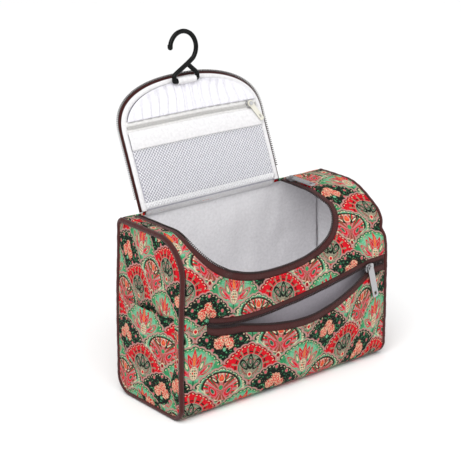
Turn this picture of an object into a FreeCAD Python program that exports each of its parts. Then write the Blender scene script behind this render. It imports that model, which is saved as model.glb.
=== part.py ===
import FreeCAD, Part
import math
import os

from FreeCAD import Vector

# Hanging toiletry bag, open, in millimetres. X runs along the bag, the front faces -Y, Z is up.
# The origin is on the floor in the middle of the flat base.

# Body: a soft box whose end profile is rounded, most of all at the top front edge.
FRONT_Y = -49.0
BACK_Y = 49.0
HEIGHT = 170.0
RADIUS_FRONT_BOTTOM = 14.0
RADIUS_BACK_BOTTOM = 18.0
RADIUS_BACK_TOP = 7.0
RADIUS_FRONT_TOP = 42.0
PANEL = 2.4  # printed fabric bonded to its foam
LINING = 0.6
SEAM = 0.1  # between layers that are sewn together
WRAP_HALF = 122.1  # half the length of the fabric between the two end seams
PIPING_RADIUS = 2.4
PIPING_X = 124.6

# Lid: hinged along the top back edge, leaning back when the bag stands open.
HINGE_Y = 42.0
LID_LEAN = 22.0
LID_MIDDLE_X = -19.0
LID_THICK = 2.2
HINGE_GAP = 1.0
FOLD_DEPTH = 9.0  # the bend's axis lies this far inside the lid's outer face
FOLD_S = HINGE_Y - FRONT_Y - FOLD_DEPTH  # the bend's distance from the hinge
FOLD_GAP = 0.4

# Main zip: the line where its two rows of teeth meet, on the body and round the lid.
ZIP_HALF = 86.0
ZIP_FRONT_Z = 123.2
ZIP_CORNER = 38.0
ZIP_LID_S = FOLD_S + HEIGHT - FOLD_DEPTH - ZIP_FRONT_Z
TEETH_FROM = 0.25
TAPE_FROM = 2.05
FABRIC_FROM = 8.6

# Front pocket zip: it rises slightly to the right, and its lower edge hangs open.
POCKET_MIDDLE = (4.0, 93.0)
POCKET_HALF = 97.2
POCKET_TILT = math.degrees(math.atan2(8.0, 194.0))
POCKET_SAG = 16.0
POCKET_TAPE_TO = 8.4
POCKET_DEPTH = 5.0
POCKET_TOP = 106.0

# Pockets on the two ends.
END_POCKET_TOP = 98.5
END_POCKET_BULGE = 6.4
END_POCKET_THICK = 1.2

# Hook: bent rod with a triangular foot whose bar turns in a sleeve on the lid.
HOOK_ROD = 2.2
HOOK_FORWARD = 15.0
HOOK_S = 111.0
HOOK_DEPTH = 7.0
HOOK_LOOP_MIDDLE = (-20.5, 30.5)
HOOK_LOOP_RADIUS = 15.2

os.makedirs("parts", exist_ok=True)


def save(node, shape):
    """Write one closed solid as one sub-part."""
    solids = shape.Solids
    if len(solids) != 1:
        raise ValueError(node + " is " + str(len(solids)) + " solids")
    solids[0].exportStep("parts/" + node + ".step")


def left_to_right(shape):
    """The two separate solids of a mirror-image pair, the left one first."""
    return sorted(shape.Solids, key=lambda each: each.CenterOfMass.x)


def box(x0, x1, y0, y1, z0, z1):
    return Part.makeBox(x1 - x0, y1 - y0, z1 - z0, Vector(x0, y0, z0))


# ---- End profile and the shells that follow it ----

# Each corner: the two edges it joins, its radius, and its way in from the corner point.
CORNERS = (
    (FRONT_Y, 0.0, RADIUS_FRONT_BOTTOM, (-1, 0), (0, -1)),
    (BACK_Y, 0.0, RADIUS_BACK_BOTTOM, (0, -1), (1, 0)),
    (BACK_Y, HEIGHT, RADIUS_BACK_TOP, (1, 0), (0, 1)),
    (FRONT_Y, HEIGHT, RADIUS_FRONT_TOP, (0, 1), (-1, 0)),
)


def profile(inset, x):
    """The body's end profile at x, moved inward by inset."""
    arcs = []
    for y, z, radius, first, last in CORNERS:
        centre = Vector(x, y - radius * (first[0] + last[0]), z - radius * (first[1] + last[1]))
        small = radius - inset
        start = centre + Vector(0, first[0], first[1]) * small
        middle = centre + Vector(0, first[0] + last[0], first[1] + last[1]) * (small * math.sqrt(0.5))
        end = centre + Vector(0, last[0], last[1]) * small
        arcs.append((start, middle, end))
    edges = []
    for number, (start, middle, end) in enumerate(arcs):
        following = arcs[(number + 1) % len(arcs)][0]
        edges.append(Part.Arc(start, middle, end).toShape())
        edges.append(Part.makeLine(end, following))
    return Part.Wire(edges)


def core(inset, x0, x1):
    """The solid inside the profile moved inward by inset."""
    return Part.Face(profile(inset, x0)).extrude(Vector(x1 - x0, 0, 0))


def wrap(outer, inner, half=WRAP_HALF):
    """A layer of fabric round the body, between two insets."""
    return core(outer, -half, half).cut(core(inner, -half - 1, half + 1))


# ---- Main zip's outline, on the body and on the lid ----


def arch(half, low, high, radius, upward):
    """A flat panel across the lid's width with two rounded corners, at its top or at its bottom."""
    middle = LID_MIDDLE_X
    square = box(middle - half, middle + half, 0, 1, low, high)
    edge = high if upward else low
    inward = -radius if upward else radius
    for side in (-1, 1):
        corner_x = middle + side * half
        centre_x = corner_x - side * radius
        corner = box(
            min(corner_x, centre_x), max(corner_x, centre_x), 0, 1, min(edge, edge + inward), max(edge, edge + inward)
        )
        disc = Part.makeCylinder(radius, 1, Vector(centre_x, 0, edge + inward), Vector(0, 1, 0))
        square = square.cut(corner.cut(disc))
    return square


def deep(panel, y0, y1):
    """The same outline between two depths."""
    face = max(panel.Faces, key=lambda each: (abs(each.normalAt(0, 0).y) > 0.99) * each.Area)
    copy = face.copy()
    copy.translate(Vector(0, y0 - copy.BoundBox.YMin, 0))
    return copy.extrude(Vector(0, y1 - y0, 0))


def opening(outside):
    """All that lies within the main opening, grown by outside, from the front back to the hinge."""
    outline = arch(ZIP_HALF + outside, ZIP_FRONT_Z - outside, HEIGHT + 20, ZIP_CORNER + outside, False)
    return deep(outline, FRONT_Y - 10, HINGE_Y)


def lid_outline(inside, depth0, depth1, low=HINGE_GAP):
    """The lid's outline shrunk by inside, standing up at the hinge; depth runs inward from its outer face."""
    outline = arch(ZIP_HALF - inside, low, ZIP_LID_S - inside, ZIP_CORNER - inside, True)
    return deep(outline, -depth1, -depth0)


def rear_part(shape):
    return shape.common(box(-200, 200, -50, 50, 0, FOLD_S - FOLD_GAP))


def front_part(shape):
    return shape.common(box(-200, 200, -50, 50, FOLD_S + FOLD_GAP, 200))


def on_lid(shape):
    """Move a piece from the upright lid to the lid as it leans."""
    moved = shape.copy()
    moved.rotate(Vector(0, 0, 0), Vector(1, 0, 0), -LID_LEAN)
    moved.translate(Vector(0, HINGE_Y, HEIGHT))
    return moved


# ---- Body: printed panels ----

fabric = wrap(0, PANEL)


def pocket_zone(low, high, left=-98.0, right=130.0):
    """A band along the front pocket's zip line, through the front wall."""
    zone = box(left, right, FRONT_Y - 5, FRONT_Y + 12, low, high)
    return along_pocket(zone)


def along_pocket(shape):
    moved = shape.copy()
    moved.rotate(Vector(0, 0, 0), Vector(0, 1, 0), -POCKET_TILT)
    moved.translate(Vector(POCKET_MIDDLE[0], 0, POCKET_MIDDLE[1]))
    return moved


POCKET_ARC = (POCKET_HALF**2 + POCKET_SAG**2) / (2 * POCKET_SAG)


def pocket_disc(outside):
    """The round that bounds the sagging lower edge, grown by outside."""
    disc = Part.makeCylinder(
        POCKET_ARC + outside, 17, Vector(0, FRONT_Y - 5, POCKET_ARC - POCKET_SAG), Vector(0, 1, 0)
    )
    return along_pocket(disc)


sagging = pocket_disc(POCKET_TAPE_TO).common(pocket_zone(-40, 0.5))
straight = pocket_zone(-POCKET_TAPE_TO, POCKET_TAPE_TO)
pocket_hole = sagging.fuse(straight)
above_pocket = pocket_zone(0.15, 150, -200, 200)
below_pocket = pocket_zone(-150, -0.15, -200, 200)

front_sheet = fabric.common(box(-200, 200, -60, -35, -1, HEIGHT + 1)).cut(opening(FABRIC_FROM))
save("front_lower_panel", front_sheet.common(below_pocket).cut(pocket_hole))

upper_zone = box(-200, 200, -60, HINGE_Y, HEIGHT - RADIUS_FRONT_TOP, HEIGHT + 1)
upper_sheet = fabric.common(upper_zone.fuse(box(-200, 200, -60, -35, 60, HEIGHT - RADIUS_FRONT_TOP)))
save("front_upper_panel", upper_sheet.cut(opening(FABRIC_FROM)).common(above_pocket.fuse(upper_zone)).cut(pocket_hole))

back_zone = box(-200, 200, HINGE_Y, 60, 60, HEIGHT + 1)
back_zone = back_zone.fuse(box(-200, 200, BACK_Y - RADIUS_BACK_BOTTOM, 60, -1, 60))
save("back_panel", fabric.common(back_zone))
save(
    "bottom_panel",
    box(-WRAP_HALF, WRAP_HALF, -35 + SEAM, BACK_Y - RADIUS_BACK_BOTTOM - SEAM, 0, PANEL),
)

# ---- Body: ends, piping and end pockets ----

END_OUTER_X = WRAP_HALF + 0.5 + PANEL

for name, side in (("left", -1), ("right", 1)):
    inner_x = side * (WRAP_HALF + 0.5)
    save("end_panel_" + name, core(2 * PIPING_RADIUS + SEAM, inner_x, side * END_OUTER_X))

    path = profile(PIPING_RADIUS, side * PIPING_X)
    start = path.Vertexes[0].Point
    ring = Part.Wire([Part.makeCircle(PIPING_RADIUS, start, Vector(0, 0, 1))])
    save("end_piping_" + name, path.makePipeShell([ring], True, True))

    # The pocket's wall is bowed, so a hand's breadth of depth is left behind its middle.
    half = 44.0
    outer_sag = END_POCKET_BULGE
    wall_x = side * (END_OUTER_X + SEAM)
    bows = []
    for sag, base in ((outer_sag, 5.0), (outer_sag - END_POCKET_THICK, 5.0 + END_POCKET_THICK)):
        reach = half * sag / outer_sag
        bow = Part.Arc(
            Vector(wall_x, -reach, base), Vector(wall_x + side * sag, 0, base), Vector(wall_x, reach, base)
        ).toShape()
        chord = Part.makeLine(Vector(wall_x, reach, base), Vector(wall_x, -reach, base))
        bows.append(Part.Face(Part.Wire([bow, chord])).extrude(Vector(0, 0, END_POCKET_TOP + 1 - base)))
    pocket = bows[0].cut(bows[1]).common(core(5.0, -140, 140))
    save("end_pocket_" + name, pocket.common(box(-200, 200, -60, 60, 0, END_POCKET_TOP)))

# ---- Body: linings ----

lining_in = PANEL + SEAM
lining = wrap(lining_in, lining_in + LINING)
save("back_lining", lining.common(back_zone))
save("bottom_lining", lining.common(box(-200, 200, -33, BACK_Y - RADIUS_BACK_BOTTOM - SEAM, 0, 20)))
upper_lining = lining.common(upper_zone).cut(opening(FABRIC_FROM))
for name, solid in zip(("left", "right"), left_to_right(upper_lining)):
    save("upper_lining_" + name, solid)

for name, side in (("left", -1), ("right", 1)):
    lining_x = side * (WRAP_HALF - LINING)
    save("end_lining_" + name, core(lining_in + LINING + SEAM, side * WRAP_HALF, lining_x))

# The front pocket's back sheet, closed to the front wall along its top.
pocket_back = FRONT_Y + PANEL + POCKET_DEPTH
sheet_half = WRAP_HALF - LINING - SEAM
sheet = box(-sheet_half, sheet_half, pocket_back, pocket_back + LINING, 6, POCKET_TOP)
flange = box(
    -sheet_half, sheet_half, FRONT_Y + PANEL + SEAM, pocket_back + LINING, POCKET_TOP - LINING, POCKET_TOP
)
save("front_pocket_lining", sheet.fuse(flange).removeSplitter())

# The compartment's front lining runs up behind that pocket and then forward to the zip.
low_y = pocket_back + LINING + SEAM
high_y = FRONT_Y + PANEL + SEAM
top_z = ZIP_FRONT_Z - FABRIC_FROM - 1
outline = [
    Vector(0, low_y, 6),
    Vector(0, low_y + LINING, 6),
    Vector(0, low_y + LINING, POCKET_TOP + 0.4),
    Vector(0, high_y + LINING, top_z),
    Vector(0, high_y, top_z),
    Vector(0, low_y, POCKET_TOP + 0.4),
]
front_lining = Part.Face(Part.makePolygon(outline + [outline[0]])).extrude(Vector(2 * sheet_half, 0, 0))
front_lining.translate(Vector(-sheet_half, 0, 0))
save("front_lining", front_lining)

# ---- Body: main zip and front pocket zip ----

tape = wrap(0.8, 1.6)
teeth = wrap(0.1, 2.3)
before_hinge = box(-200, 200, -60, HINGE_Y - 0.5, 60, HEIGHT + 1)
save("main_zip_tape", tape.common(before_hinge).common(opening(FABRIC_FROM).cut(opening(TAPE_FROM))))
save("main_zip_teeth", teeth.common(before_hinge).common(opening(TAPE_FROM).cut(opening(TEETH_FROM))))

tape_layer = box(-WRAP_HALF, WRAP_HALF, FRONT_Y + 0.8, FRONT_Y + 1.6, 50, 130)
teeth_layer = box(-WRAP_HALF, WRAP_HALF, FRONT_Y + 0.1, FRONT_Y + 2.3, 50, 130)
lower_half = pocket_zone(-40, -TEETH_FROM)
save("pocket_zip_tape_upper", tape_layer.common(pocket_zone(TAPE_FROM, POCKET_TAPE_TO)))
save("pocket_zip_teeth_upper", teeth_layer.common(pocket_zone(TEETH_FROM, TAPE_FROM, -96)))

# The lower row follows the sag, then runs straight on to the right end seam.
teeth_width = TAPE_FROM - TEETH_FROM
tape_region = sagging.fuse(pocket_zone(-POCKET_TAPE_TO, 0)).cut(pocket_disc(teeth_width))
tape_region = tape_region.cut(pocket_zone(-TAPE_FROM, 5, POCKET_HALF - 3))
save("pocket_zip_tape_lower", tape_layer.common(tape_region).common(lower_half))
curved_teeth = pocket_disc(teeth_width).cut(pocket_disc(0)).common(pocket_zone(-40, -TEETH_FROM, -96))
right_teeth = pocket_zone(-TAPE_FROM, -TEETH_FROM, POCKET_HALF - 3)
save(
    "pocket_zip_teeth_lower",
    teeth_layer.common(curved_teeth.fuse(right_teeth)).cut(pocket_disc(0)).cut(
        pocket_zone(-40, -TAPE_FROM, POCKET_HALF - 3)
    ),
)

# ---- Lid: rear part and front part, with a bend between them ----

outer = lid_outline(FABRIC_FROM, 0, LID_THICK)
inner_lining = lid_outline(5.0, LID_THICK + 0.05, LID_THICK + 0.05 + LINING)
edge_tape = lid_outline(TAPE_FROM, 0.7, 1.5).cut(lid_outline(FABRIC_FROM, 0, 3, -1))
edge_teeth = lid_outline(TEETH_FROM, 0, 2.2, HINGE_GAP + 12).cut(lid_outline(TAPE_FROM, -1, 3, -1))
binding_depth = LID_THICK + 0.1 + LINING
binding = lid_outline(5.0, binding_depth, binding_depth + 0.4).cut(lid_outline(9.0, 0, 9, -1))


save("lid_panel_rear", on_lid(rear_part(outer)))
save("lid_panel_front", on_lid(front_part(outer)))
save("lid_lining_rear", on_lid(rear_part(inner_lining)))
save("lid_lining_front", on_lid(front_part(inner_lining)))
save("lid_zip_tape_front", on_lid(front_part(edge_tape)))
save("lid_zip_teeth_front", on_lid(front_part(edge_teeth)))
for kind, strips in (("tape", edge_tape), ("teeth", edge_teeth)):
    for name, solid in zip(("left", "right"), left_to_right(rear_part(strips))):
        save("lid_zip_" + kind + "_" + name, on_lid(solid))
rear_binding = rear_part(binding)
foot = lid_outline(5.0, binding_depth, binding_depth + 0.4).common(
    box(-200, 200, -50, 50, HINGE_GAP, HINGE_GAP + 3.0)
)
save("lid_binding_rear", on_lid(rear_binding.fuse(foot).removeSplitter()))
save("lid_binding_front", on_lid(front_part(binding)))

# What is sewn on the lid's inner face: net, band, pocket zip and gathered cloth.
NET_TOP = 57.0
BAND_TOP = 73.0
POCKET_ZIP_S = 77.3
inner_half = ZIP_HALF - 9.0 - SEAM
inner_left = LID_MIDDLE_X - inner_half
inner_right = LID_MIDDLE_X + inner_half
face = binding_depth
save("lid_net", on_lid(box(inner_left, inner_right, -face - 0.5, -face, 4.1, NET_TOP)))
save("lid_net_band", on_lid(box(inner_left, inner_right, -face - 0.8, -face, NET_TOP + SEAM, BAND_TOP)))
lower_tape = box(inner_left, inner_right, -face - 0.6, -face, BAND_TOP + SEAM, POCKET_ZIP_S - 1)
save("lid_pocket_zip_tape_lower", on_lid(lower_tape))
upper_tape = box(inner_left, inner_right, -face - 0.6, -face, POCKET_ZIP_S + 1, FOLD_S - FOLD_GAP)
save("lid_pocket_zip_tape_upper", on_lid(upper_tape))
pocket_teeth = box(inner_left, inner_right, -face - 1.3, -face, POCKET_ZIP_S - 0.9, POCKET_ZIP_S + 0.9)
save("lid_pocket_zip_teeth", on_lid(pocket_teeth))
save("lid_gathered_cloth", on_lid(front_part(lid_outline(9.1, face, face + 0.6))))

# ---- Hook and its sleeve ----


def rod(start, end, radius=HOOK_ROD):
    """A straight length of rod with round ends, in the hook's own plane."""
    first = Vector(start[0], 0, start[1])
    last = Vector(end[0], 0, end[1])
    straight_part = Part.makeCylinder(radius, (last - first).Length, first, last - first)
    return straight_part.fuse(Part.makeSphere(radius, first)).fuse(Part.makeSphere(radius, last))


def on_loop(degrees):
    angle = math.radians(degrees)
    return (
        HOOK_LOOP_MIDDLE[0] + HOOK_LOOP_RADIUS * math.cos(angle),
        HOOK_LOOP_MIDDLE[1] + HOOK_LOOP_RADIUS * math.sin(angle),
    )


LOOP_TIP = 175.0
LOOP_END = -57.0
LEFT_FOOT_X = -34.0
RIGHT_FOOT_X = -7.0
loop_points = [on_loop(LOOP_TIP), on_loop((LOOP_TIP + LOOP_END) / 2), on_loop(LOOP_END)]
loop_arc = Part.Arc(*[Vector(x, 0, z) for x, z in loop_points]).toShape()
tip = Vector(loop_points[0][0], 0, loop_points[0][1])
tip_turn = math.radians(LOOP_TIP)
tip_circle = Part.Wire(
    [Part.makeCircle(HOOK_ROD, tip, Vector(-math.sin(tip_turn), 0, math.cos(tip_turn)))]
)
hook = Part.Wire([loop_arc]).makePipeShell([tip_circle], True, True)
hook = hook.fuse(Part.makeSphere(HOOK_ROD, tip))
branch = (-17.9, 14.9)
hook_runs = (
    (on_loop(LOOP_END), (LEFT_FOOT_X, 6.0)),
    ((LEFT_FOOT_X, 6.0), (LEFT_FOOT_X, 0.0)),
    ((LEFT_FOOT_X, 0.0), (RIGHT_FOOT_X, 0.0)),
    ((RIGHT_FOOT_X, 0.0), (RIGHT_FOOT_X, 4.8)),
    ((RIGHT_FOOT_X, 4.8), branch),
)
for run_start, run_end in hook_runs:
    hook = hook.fuse(rod(run_start, run_end))

lean = math.radians(LID_LEAN)
hook_y = HINGE_Y + HOOK_S * math.sin(lean) - HOOK_DEPTH * math.cos(lean)
hook_z = HEIGHT + HOOK_S * math.cos(lean) + HOOK_DEPTH * math.sin(lean)
hook.rotate(Vector(0, 0, 0), Vector(1, 0, 0), HOOK_FORWARD - LID_LEAN)
hook.translate(Vector(0, hook_y, hook_z))
save("hook", hook)

sleeve_left = LEFT_FOOT_X + 3.0
sleeve_length = RIGHT_FOOT_X - LEFT_FOOT_X - 6.0
sleeve_start = Vector(sleeve_left, -HOOK_DEPTH, HOOK_S)
sleeve = Part.makeCylinder(HOOK_ROD + 1.2, sleeve_length, sleeve_start, Vector(1, 0, 0))
flap = box(sleeve_left, sleeve_left + sleeve_length, -4.4, -3.6, HOOK_S - 5, HOOK_S + 3)
sleeve = sleeve.fuse(flap)
bore = Part.makeCylinder(HOOK_ROD + 0.4, sleeve_length + 2, sleeve_start - Vector(1, 0, 0), Vector(1, 0, 0))
save("hook_sleeve", on_lid(sleeve.cut(bore)))

# ---- Zip sliders and their pulls ----


def slider(long, wide, thick, post):
    """A slider facing -Y with its base on y = 0, and a headed post that the pull turns on."""
    plate = box(-long / 2, long / 2, -thick, 0, -wide / 2, wide / 2)
    upright = [edge for edge in plate.Edges if abs(edge.tangentAt(0).y) > 0.9]
    plate = plate.makeFillet(min(long, wide) * 0.3, upright)
    shank = Part.makeCylinder(1.1, post, Vector(0, -thick, 0), Vector(0, -1, 0))
    head = Part.makeCylinder(2.0, 0.6, Vector(0, -thick - post, 0), Vector(0, -1, 0))
    return plate.fuse(shank).fuse(head)


def pull(length, wide, thick, start):
    """A pull hanging down -Z from the post; start is how far its back face is from y = 0."""
    head = Part.makeCylinder(3.2, thick, Vector(0, -start, 0), Vector(0, -1, 0))
    blade = box(-wide / 2, wide / 2, -start - thick, -start, -length, -2)
    ends = [edge for edge in blade.Edges if abs(edge.tangentAt(0).y) > 0.9 and edge.BoundBox.ZMax < -length + 0.1]
    blade = blade.makeFillet(wide * 0.3, ends)
    slot = box(-wide / 5, wide / 5, -start - thick - 1, -start + 1, -length + 2.5, -length + 6)
    hole = Part.makeCylinder(1.5, thick + 2, Vector(0, -start + 1, 0), Vector(0, -1, 0))
    return head.fuse(blade).cut(slot).cut(hole)


POCKET_SLIDER = (100.0, FRONT_Y - 0.3, 97.0)
POCKET_PULL_SWING = 15.0
front_slider = slider(10.0, 8.0, 1.8, 2.0)
front_slider.rotate(Vector(0, 0, 0), Vector(0, 1, 0), -POCKET_TILT)
front_slider.translate(Vector(*POCKET_SLIDER))
save("pocket_slider", front_slider)
front_pull = pull(32.0, 7.0, 1.2, 2.2)
front_pull.rotate(Vector(0, 0, 0), Vector(0, 1, 0), -POCKET_PULL_SWING)
front_pull.translate(Vector(*POCKET_SLIDER))
save("pocket_pull", front_pull)

MAIN_SLIDER = (LID_MIDDLE_X + ZIP_HALF + 5.4, HINGE_Y - 10.0, HEIGHT + 0.3)


def on_top(shape):
    """Turn a piece that faces -Y to face up, with its -Z side towards the front."""
    moved = shape.copy()
    moved.rotate(Vector(0, 0, 0), Vector(1, 0, 0), -90)
    moved.translate(Vector(*MAIN_SLIDER))
    return moved


save("main_slider", on_top(slider(8.0, 10.0, 1.8, 2.0)))
save("main_pull", on_top(pull(32.0, 7.0, 1.2, 2.2)))

LID_SLIDER_X = 48.0
LID_PULL_SWING = 30.0
lid_slider = slider(8.0, 6.4, 1.4, 1.4)
lid_pull = pull(20.0, 5.0, 0.9, 1.65)
lid_pull.rotate(Vector(0, 0, 0), Vector(0, 1, 0), -LID_PULL_SWING)
for node, piece in (("lid_pocket_slider", lid_slider), ("lid_pocket_pull", lid_pull)):
    piece.translate(Vector(LID_SLIDER_X, -face - 1.6, POCKET_ZIP_S))
    save(node, on_lid(piece))
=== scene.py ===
import bmesh
import bpy
import math
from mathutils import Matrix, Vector, noise


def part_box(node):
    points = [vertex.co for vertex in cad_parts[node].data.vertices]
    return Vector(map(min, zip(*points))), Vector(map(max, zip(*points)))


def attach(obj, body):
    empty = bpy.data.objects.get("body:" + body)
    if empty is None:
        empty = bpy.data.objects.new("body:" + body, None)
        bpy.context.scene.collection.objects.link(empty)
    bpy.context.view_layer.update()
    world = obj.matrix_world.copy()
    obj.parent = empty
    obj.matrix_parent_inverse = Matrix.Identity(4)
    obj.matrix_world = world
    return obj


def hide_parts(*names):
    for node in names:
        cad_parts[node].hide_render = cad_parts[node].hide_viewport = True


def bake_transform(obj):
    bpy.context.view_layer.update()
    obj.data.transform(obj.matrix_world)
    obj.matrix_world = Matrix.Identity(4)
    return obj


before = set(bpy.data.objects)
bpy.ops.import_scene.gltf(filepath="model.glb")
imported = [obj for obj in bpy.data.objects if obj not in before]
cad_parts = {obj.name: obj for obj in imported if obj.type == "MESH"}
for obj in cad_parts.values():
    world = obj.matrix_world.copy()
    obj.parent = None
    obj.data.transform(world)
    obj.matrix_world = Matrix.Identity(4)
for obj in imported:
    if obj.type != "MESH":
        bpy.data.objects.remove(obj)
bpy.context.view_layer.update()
scene = bpy.context.scene

# ---- Studio ----
# A plain pale floor running back to a white surround, a wide soft sky from the upper left,
# a large lamp on the same side and a weak fill from the front right.

scene.view_settings.view_transform = "Standard"
world = bpy.data.worlds.new("white_surround")
world.use_nodes = True
world.node_tree.nodes["Background"].inputs["Color"].default_value = (1.0, 1.0, 1.0, 1)
world.node_tree.nodes["Background"].inputs["Strength"].default_value = 0.62
scene.world = world

floor_half = 6.0
floor_mesh = bpy.data.meshes.new("floor")
floor_mesh.from_pydata(
    [(-floor_half, -floor_half, -0.0004), (floor_half, -floor_half, -0.0004),
     (floor_half, floor_half, -0.0004), (-floor_half, floor_half, -0.0004)],
    [], [(0, 1, 2, 3)],
)
floor = bpy.data.objects.new("floor", floor_mesh)
scene.collection.objects.link(floor)
floor_paint = bpy.data.materials.new("floor_paint")
floor_paint.use_nodes = True
floor_nodes = floor_paint.node_tree.nodes
floor_shader = floor_nodes["Principled BSDF"]
floor_speckle = floor_nodes.new("ShaderNodeTexNoise")
floor_speckle.inputs["Scale"].default_value = 3.0
floor_tone = floor_nodes.new("ShaderNodeValToRGB")
floor_tone.color_ramp.elements[0].color = (0.93, 0.93, 0.93, 1)
floor_tone.color_ramp.elements[1].color = (0.96, 0.96, 0.96, 1)
floor_paint.node_tree.links.new(floor_speckle.outputs["Fac"], floor_tone.inputs["Fac"])
floor_paint.node_tree.links.new(floor_tone.outputs["Color"], floor_shader.inputs["Base Color"])
floor_shader.inputs["Roughness"].default_value = 0.9
floor_shader.inputs["Specular IOR Level"].default_value = 0.1
floor_mesh.materials.append(floor_paint)


def soft_light(name, place, aim, size, power):
    lamp = bpy.data.lights.new(name, "AREA")
    lamp.size = size
    lamp.energy = power
    holder = bpy.data.objects.new(name, lamp)
    scene.collection.objects.link(holder)
    holder.location = place
    holder.rotation_euler = (Vector(aim) - Vector(place)).to_track_quat("-Z", "Y").to_euler()


soft_light("key_light", (-1.1, -0.8, 1.2), (0, 0, 0.1), 0.9, 9)
soft_light("fill_light", (1.0, -1.2, 0.8), (0, 0, 0.1), 1.0, 3)
sky = bpy.data.lights.new("sky_light", "SUN")
sky.energy = 1.5
sky.angle = math.radians(50)
sky_holder = bpy.data.objects.new("sky_light", sky)
scene.collection.objects.link(sky_holder)
sky_holder.rotation_euler = Vector((0.5, 0.45, -1.3)).to_track_quat("-Z", "Y").to_euler()

camera_place = Vector((-0.9267, -1.0931, 0.6344))
camera_turn, camera_dip = math.radians(39.36), math.radians(18.95)
camera_look = Vector((
    math.sin(camera_turn) * math.cos(camera_dip),
    math.cos(camera_turn) * math.cos(camera_dip),
    -math.sin(camera_dip),
))
camera_data = bpy.data.cameras.new("camera")
camera_data.lens = 126.7
camera_data.sensor_width = 36.0
camera = bpy.data.objects.new("camera", camera_data)
scene.collection.objects.link(camera)
camera.location = camera_place
camera.rotation_euler = camera_look.to_track_quat("-Z", "Y").to_euler()
scene.camera = camera

# ---- Printed cloth ----
# Quilting cotton bonded to thin foam, printed with a fish-scale repeat of four flower motifs:
# a crimson fan, a green lotus, a dark rose posy and a lace-edged fan, each with a pink outline.
# The "cloth" map counts in half repeats: a motif sits at every whole pair whose sum is even.

mm = 0.001
scale_half_wide, scale_high = 32.0, 22.2


class Trace:
    """A number inside a shader group, so that a pattern can be written as plain sums."""

    def __init__(self, tree, socket):
        self.tree, self.socket = tree, socket

    def join(self, kind, *others):
        node = self.tree.nodes.new("ShaderNodeMath")
        node.operation = kind
        for slot, value in zip(node.inputs, (self, *others)):
            if isinstance(value, Trace):
                self.tree.links.new(value.socket, slot)
            else:
                slot.default_value = value
        return Trace(self.tree, node.outputs[0])

    def __add__(self, other):
        return self.join("ADD", other)

    def __sub__(self, other):
        return self.join("SUBTRACT", other)

    def __mul__(self, other):
        return self.join("MULTIPLY", other)

    def __truediv__(self, other):
        return self.join("DIVIDE", other)

    def __rsub__(self, other):
        return self.join("MULTIPLY", -1.0).join("ADD", other)

    __radd__, __rmul__ = __add__, __mul__

    def size(self):
        return self.join("ABSOLUTE")

    def least(self, other):
        return self.join("MINIMUM", other)

    def power(self, other):
        return self.join("POWER", other)

    def rises(self, start, end):
        """0 at start, 1 at end, straight between; start may be the larger one."""
        node = self.tree.nodes.new("ShaderNodeMapRange")
        node.clamp = True
        for name, value in (("From Min", start), ("From Max", end)):
            if isinstance(value, Trace):
                self.tree.links.new(value.socket, node.inputs[name])
            else:
                node.inputs[name].default_value = value
        self.tree.links.new(self.socket, node.inputs["Value"])
        return Trace(self.tree, node.outputs["Result"])


def far(a, b):
    return (a * a + b * b).power(0.5)


def turned(a, b, degrees):
    """The two coordinates after the cloth is turned, so that a shape at that slant lies along b."""
    c, s = math.cos(math.radians(degrees)), math.sin(math.radians(degrees))
    return a * c - b * s, a * s + b * c


def petal(a, b, middle, half_long, half_wide, slant=0.0, taper=0.0):
    """How far a point is out from a petal's middle: 1 on its edge. A taper narrows its upper end."""
    across, along = turned(a - middle[0], b - middle[1], slant)
    along = along / half_long
    wide = (1.0 - along * taper) * half_wide if taper else half_wide
    return far(across / wide, along)


def painted(tree, base, *coats):
    """Lays coats of colour over a base, each a (mask, colour) pair."""
    def colour_of(value, slot):
        if isinstance(value, tuple):
            slot.default_value = (*value, 1)
        else:
            tree.links.new(value, slot)

    current = base
    for mask, colour in coats:
        mix = tree.nodes.new("ShaderNodeMix")
        mix.data_type = "RGBA"
        tree.links.new(mask.socket, mix.inputs["Factor"])
        colour_of(current, mix.inputs["A"])
        colour_of(colour, mix.inputs["B"])
        current = mix.outputs["Result"]
    return current


def new_group(name, takes, gives):
    group = bpy.data.node_groups.new(name, "ShaderNodeTree")
    for label, kind, value in takes:
        socket = group.interface.new_socket(label, in_out="INPUT", socket_type=kind)
        if value is not None:
            socket.default_value = value
    for label, kind in gives:
        group.interface.new_socket(label, in_out="OUTPUT", socket_type=kind)
    return group, group.nodes.new("NodeGroupInput"), group.nodes.new("NodeGroupOutput")


crimson, deep_red = (0.68, 0.010, 0.030), (0.36, 0.012, 0.03)
emerald, mint, sage = (0.07, 0.36, 0.165), (0.21, 0.54, 0.34), (0.24, 0.33, 0.22)
near_black, leaf_green = (0.014, 0.022, 0.017), (0.04, 0.17, 0.09)
dusty_pink, rose_pink, coral = (0.50, 0.29, 0.265), (0.66, 0.16, 0.19), (0.74, 0.105, 0.075)
cream, orange = (0.74, 0.62, 0.44), (0.76, 0.22, 0.07)

print_group, print_in, print_out = new_group(
    "flower_print",
    [("Cloth", "NodeSocketVector", None)],
    [("Color", "NodeSocketColor")],
)
place = print_group.nodes.new("ShaderNodeSeparateXYZ")
print_group.links.new(print_in.outputs["Cloth"], place.inputs[0])
cloth_s, cloth_t = Trace(print_group, place.outputs["X"]), Trace(print_group, place.outputs["Y"])

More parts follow.
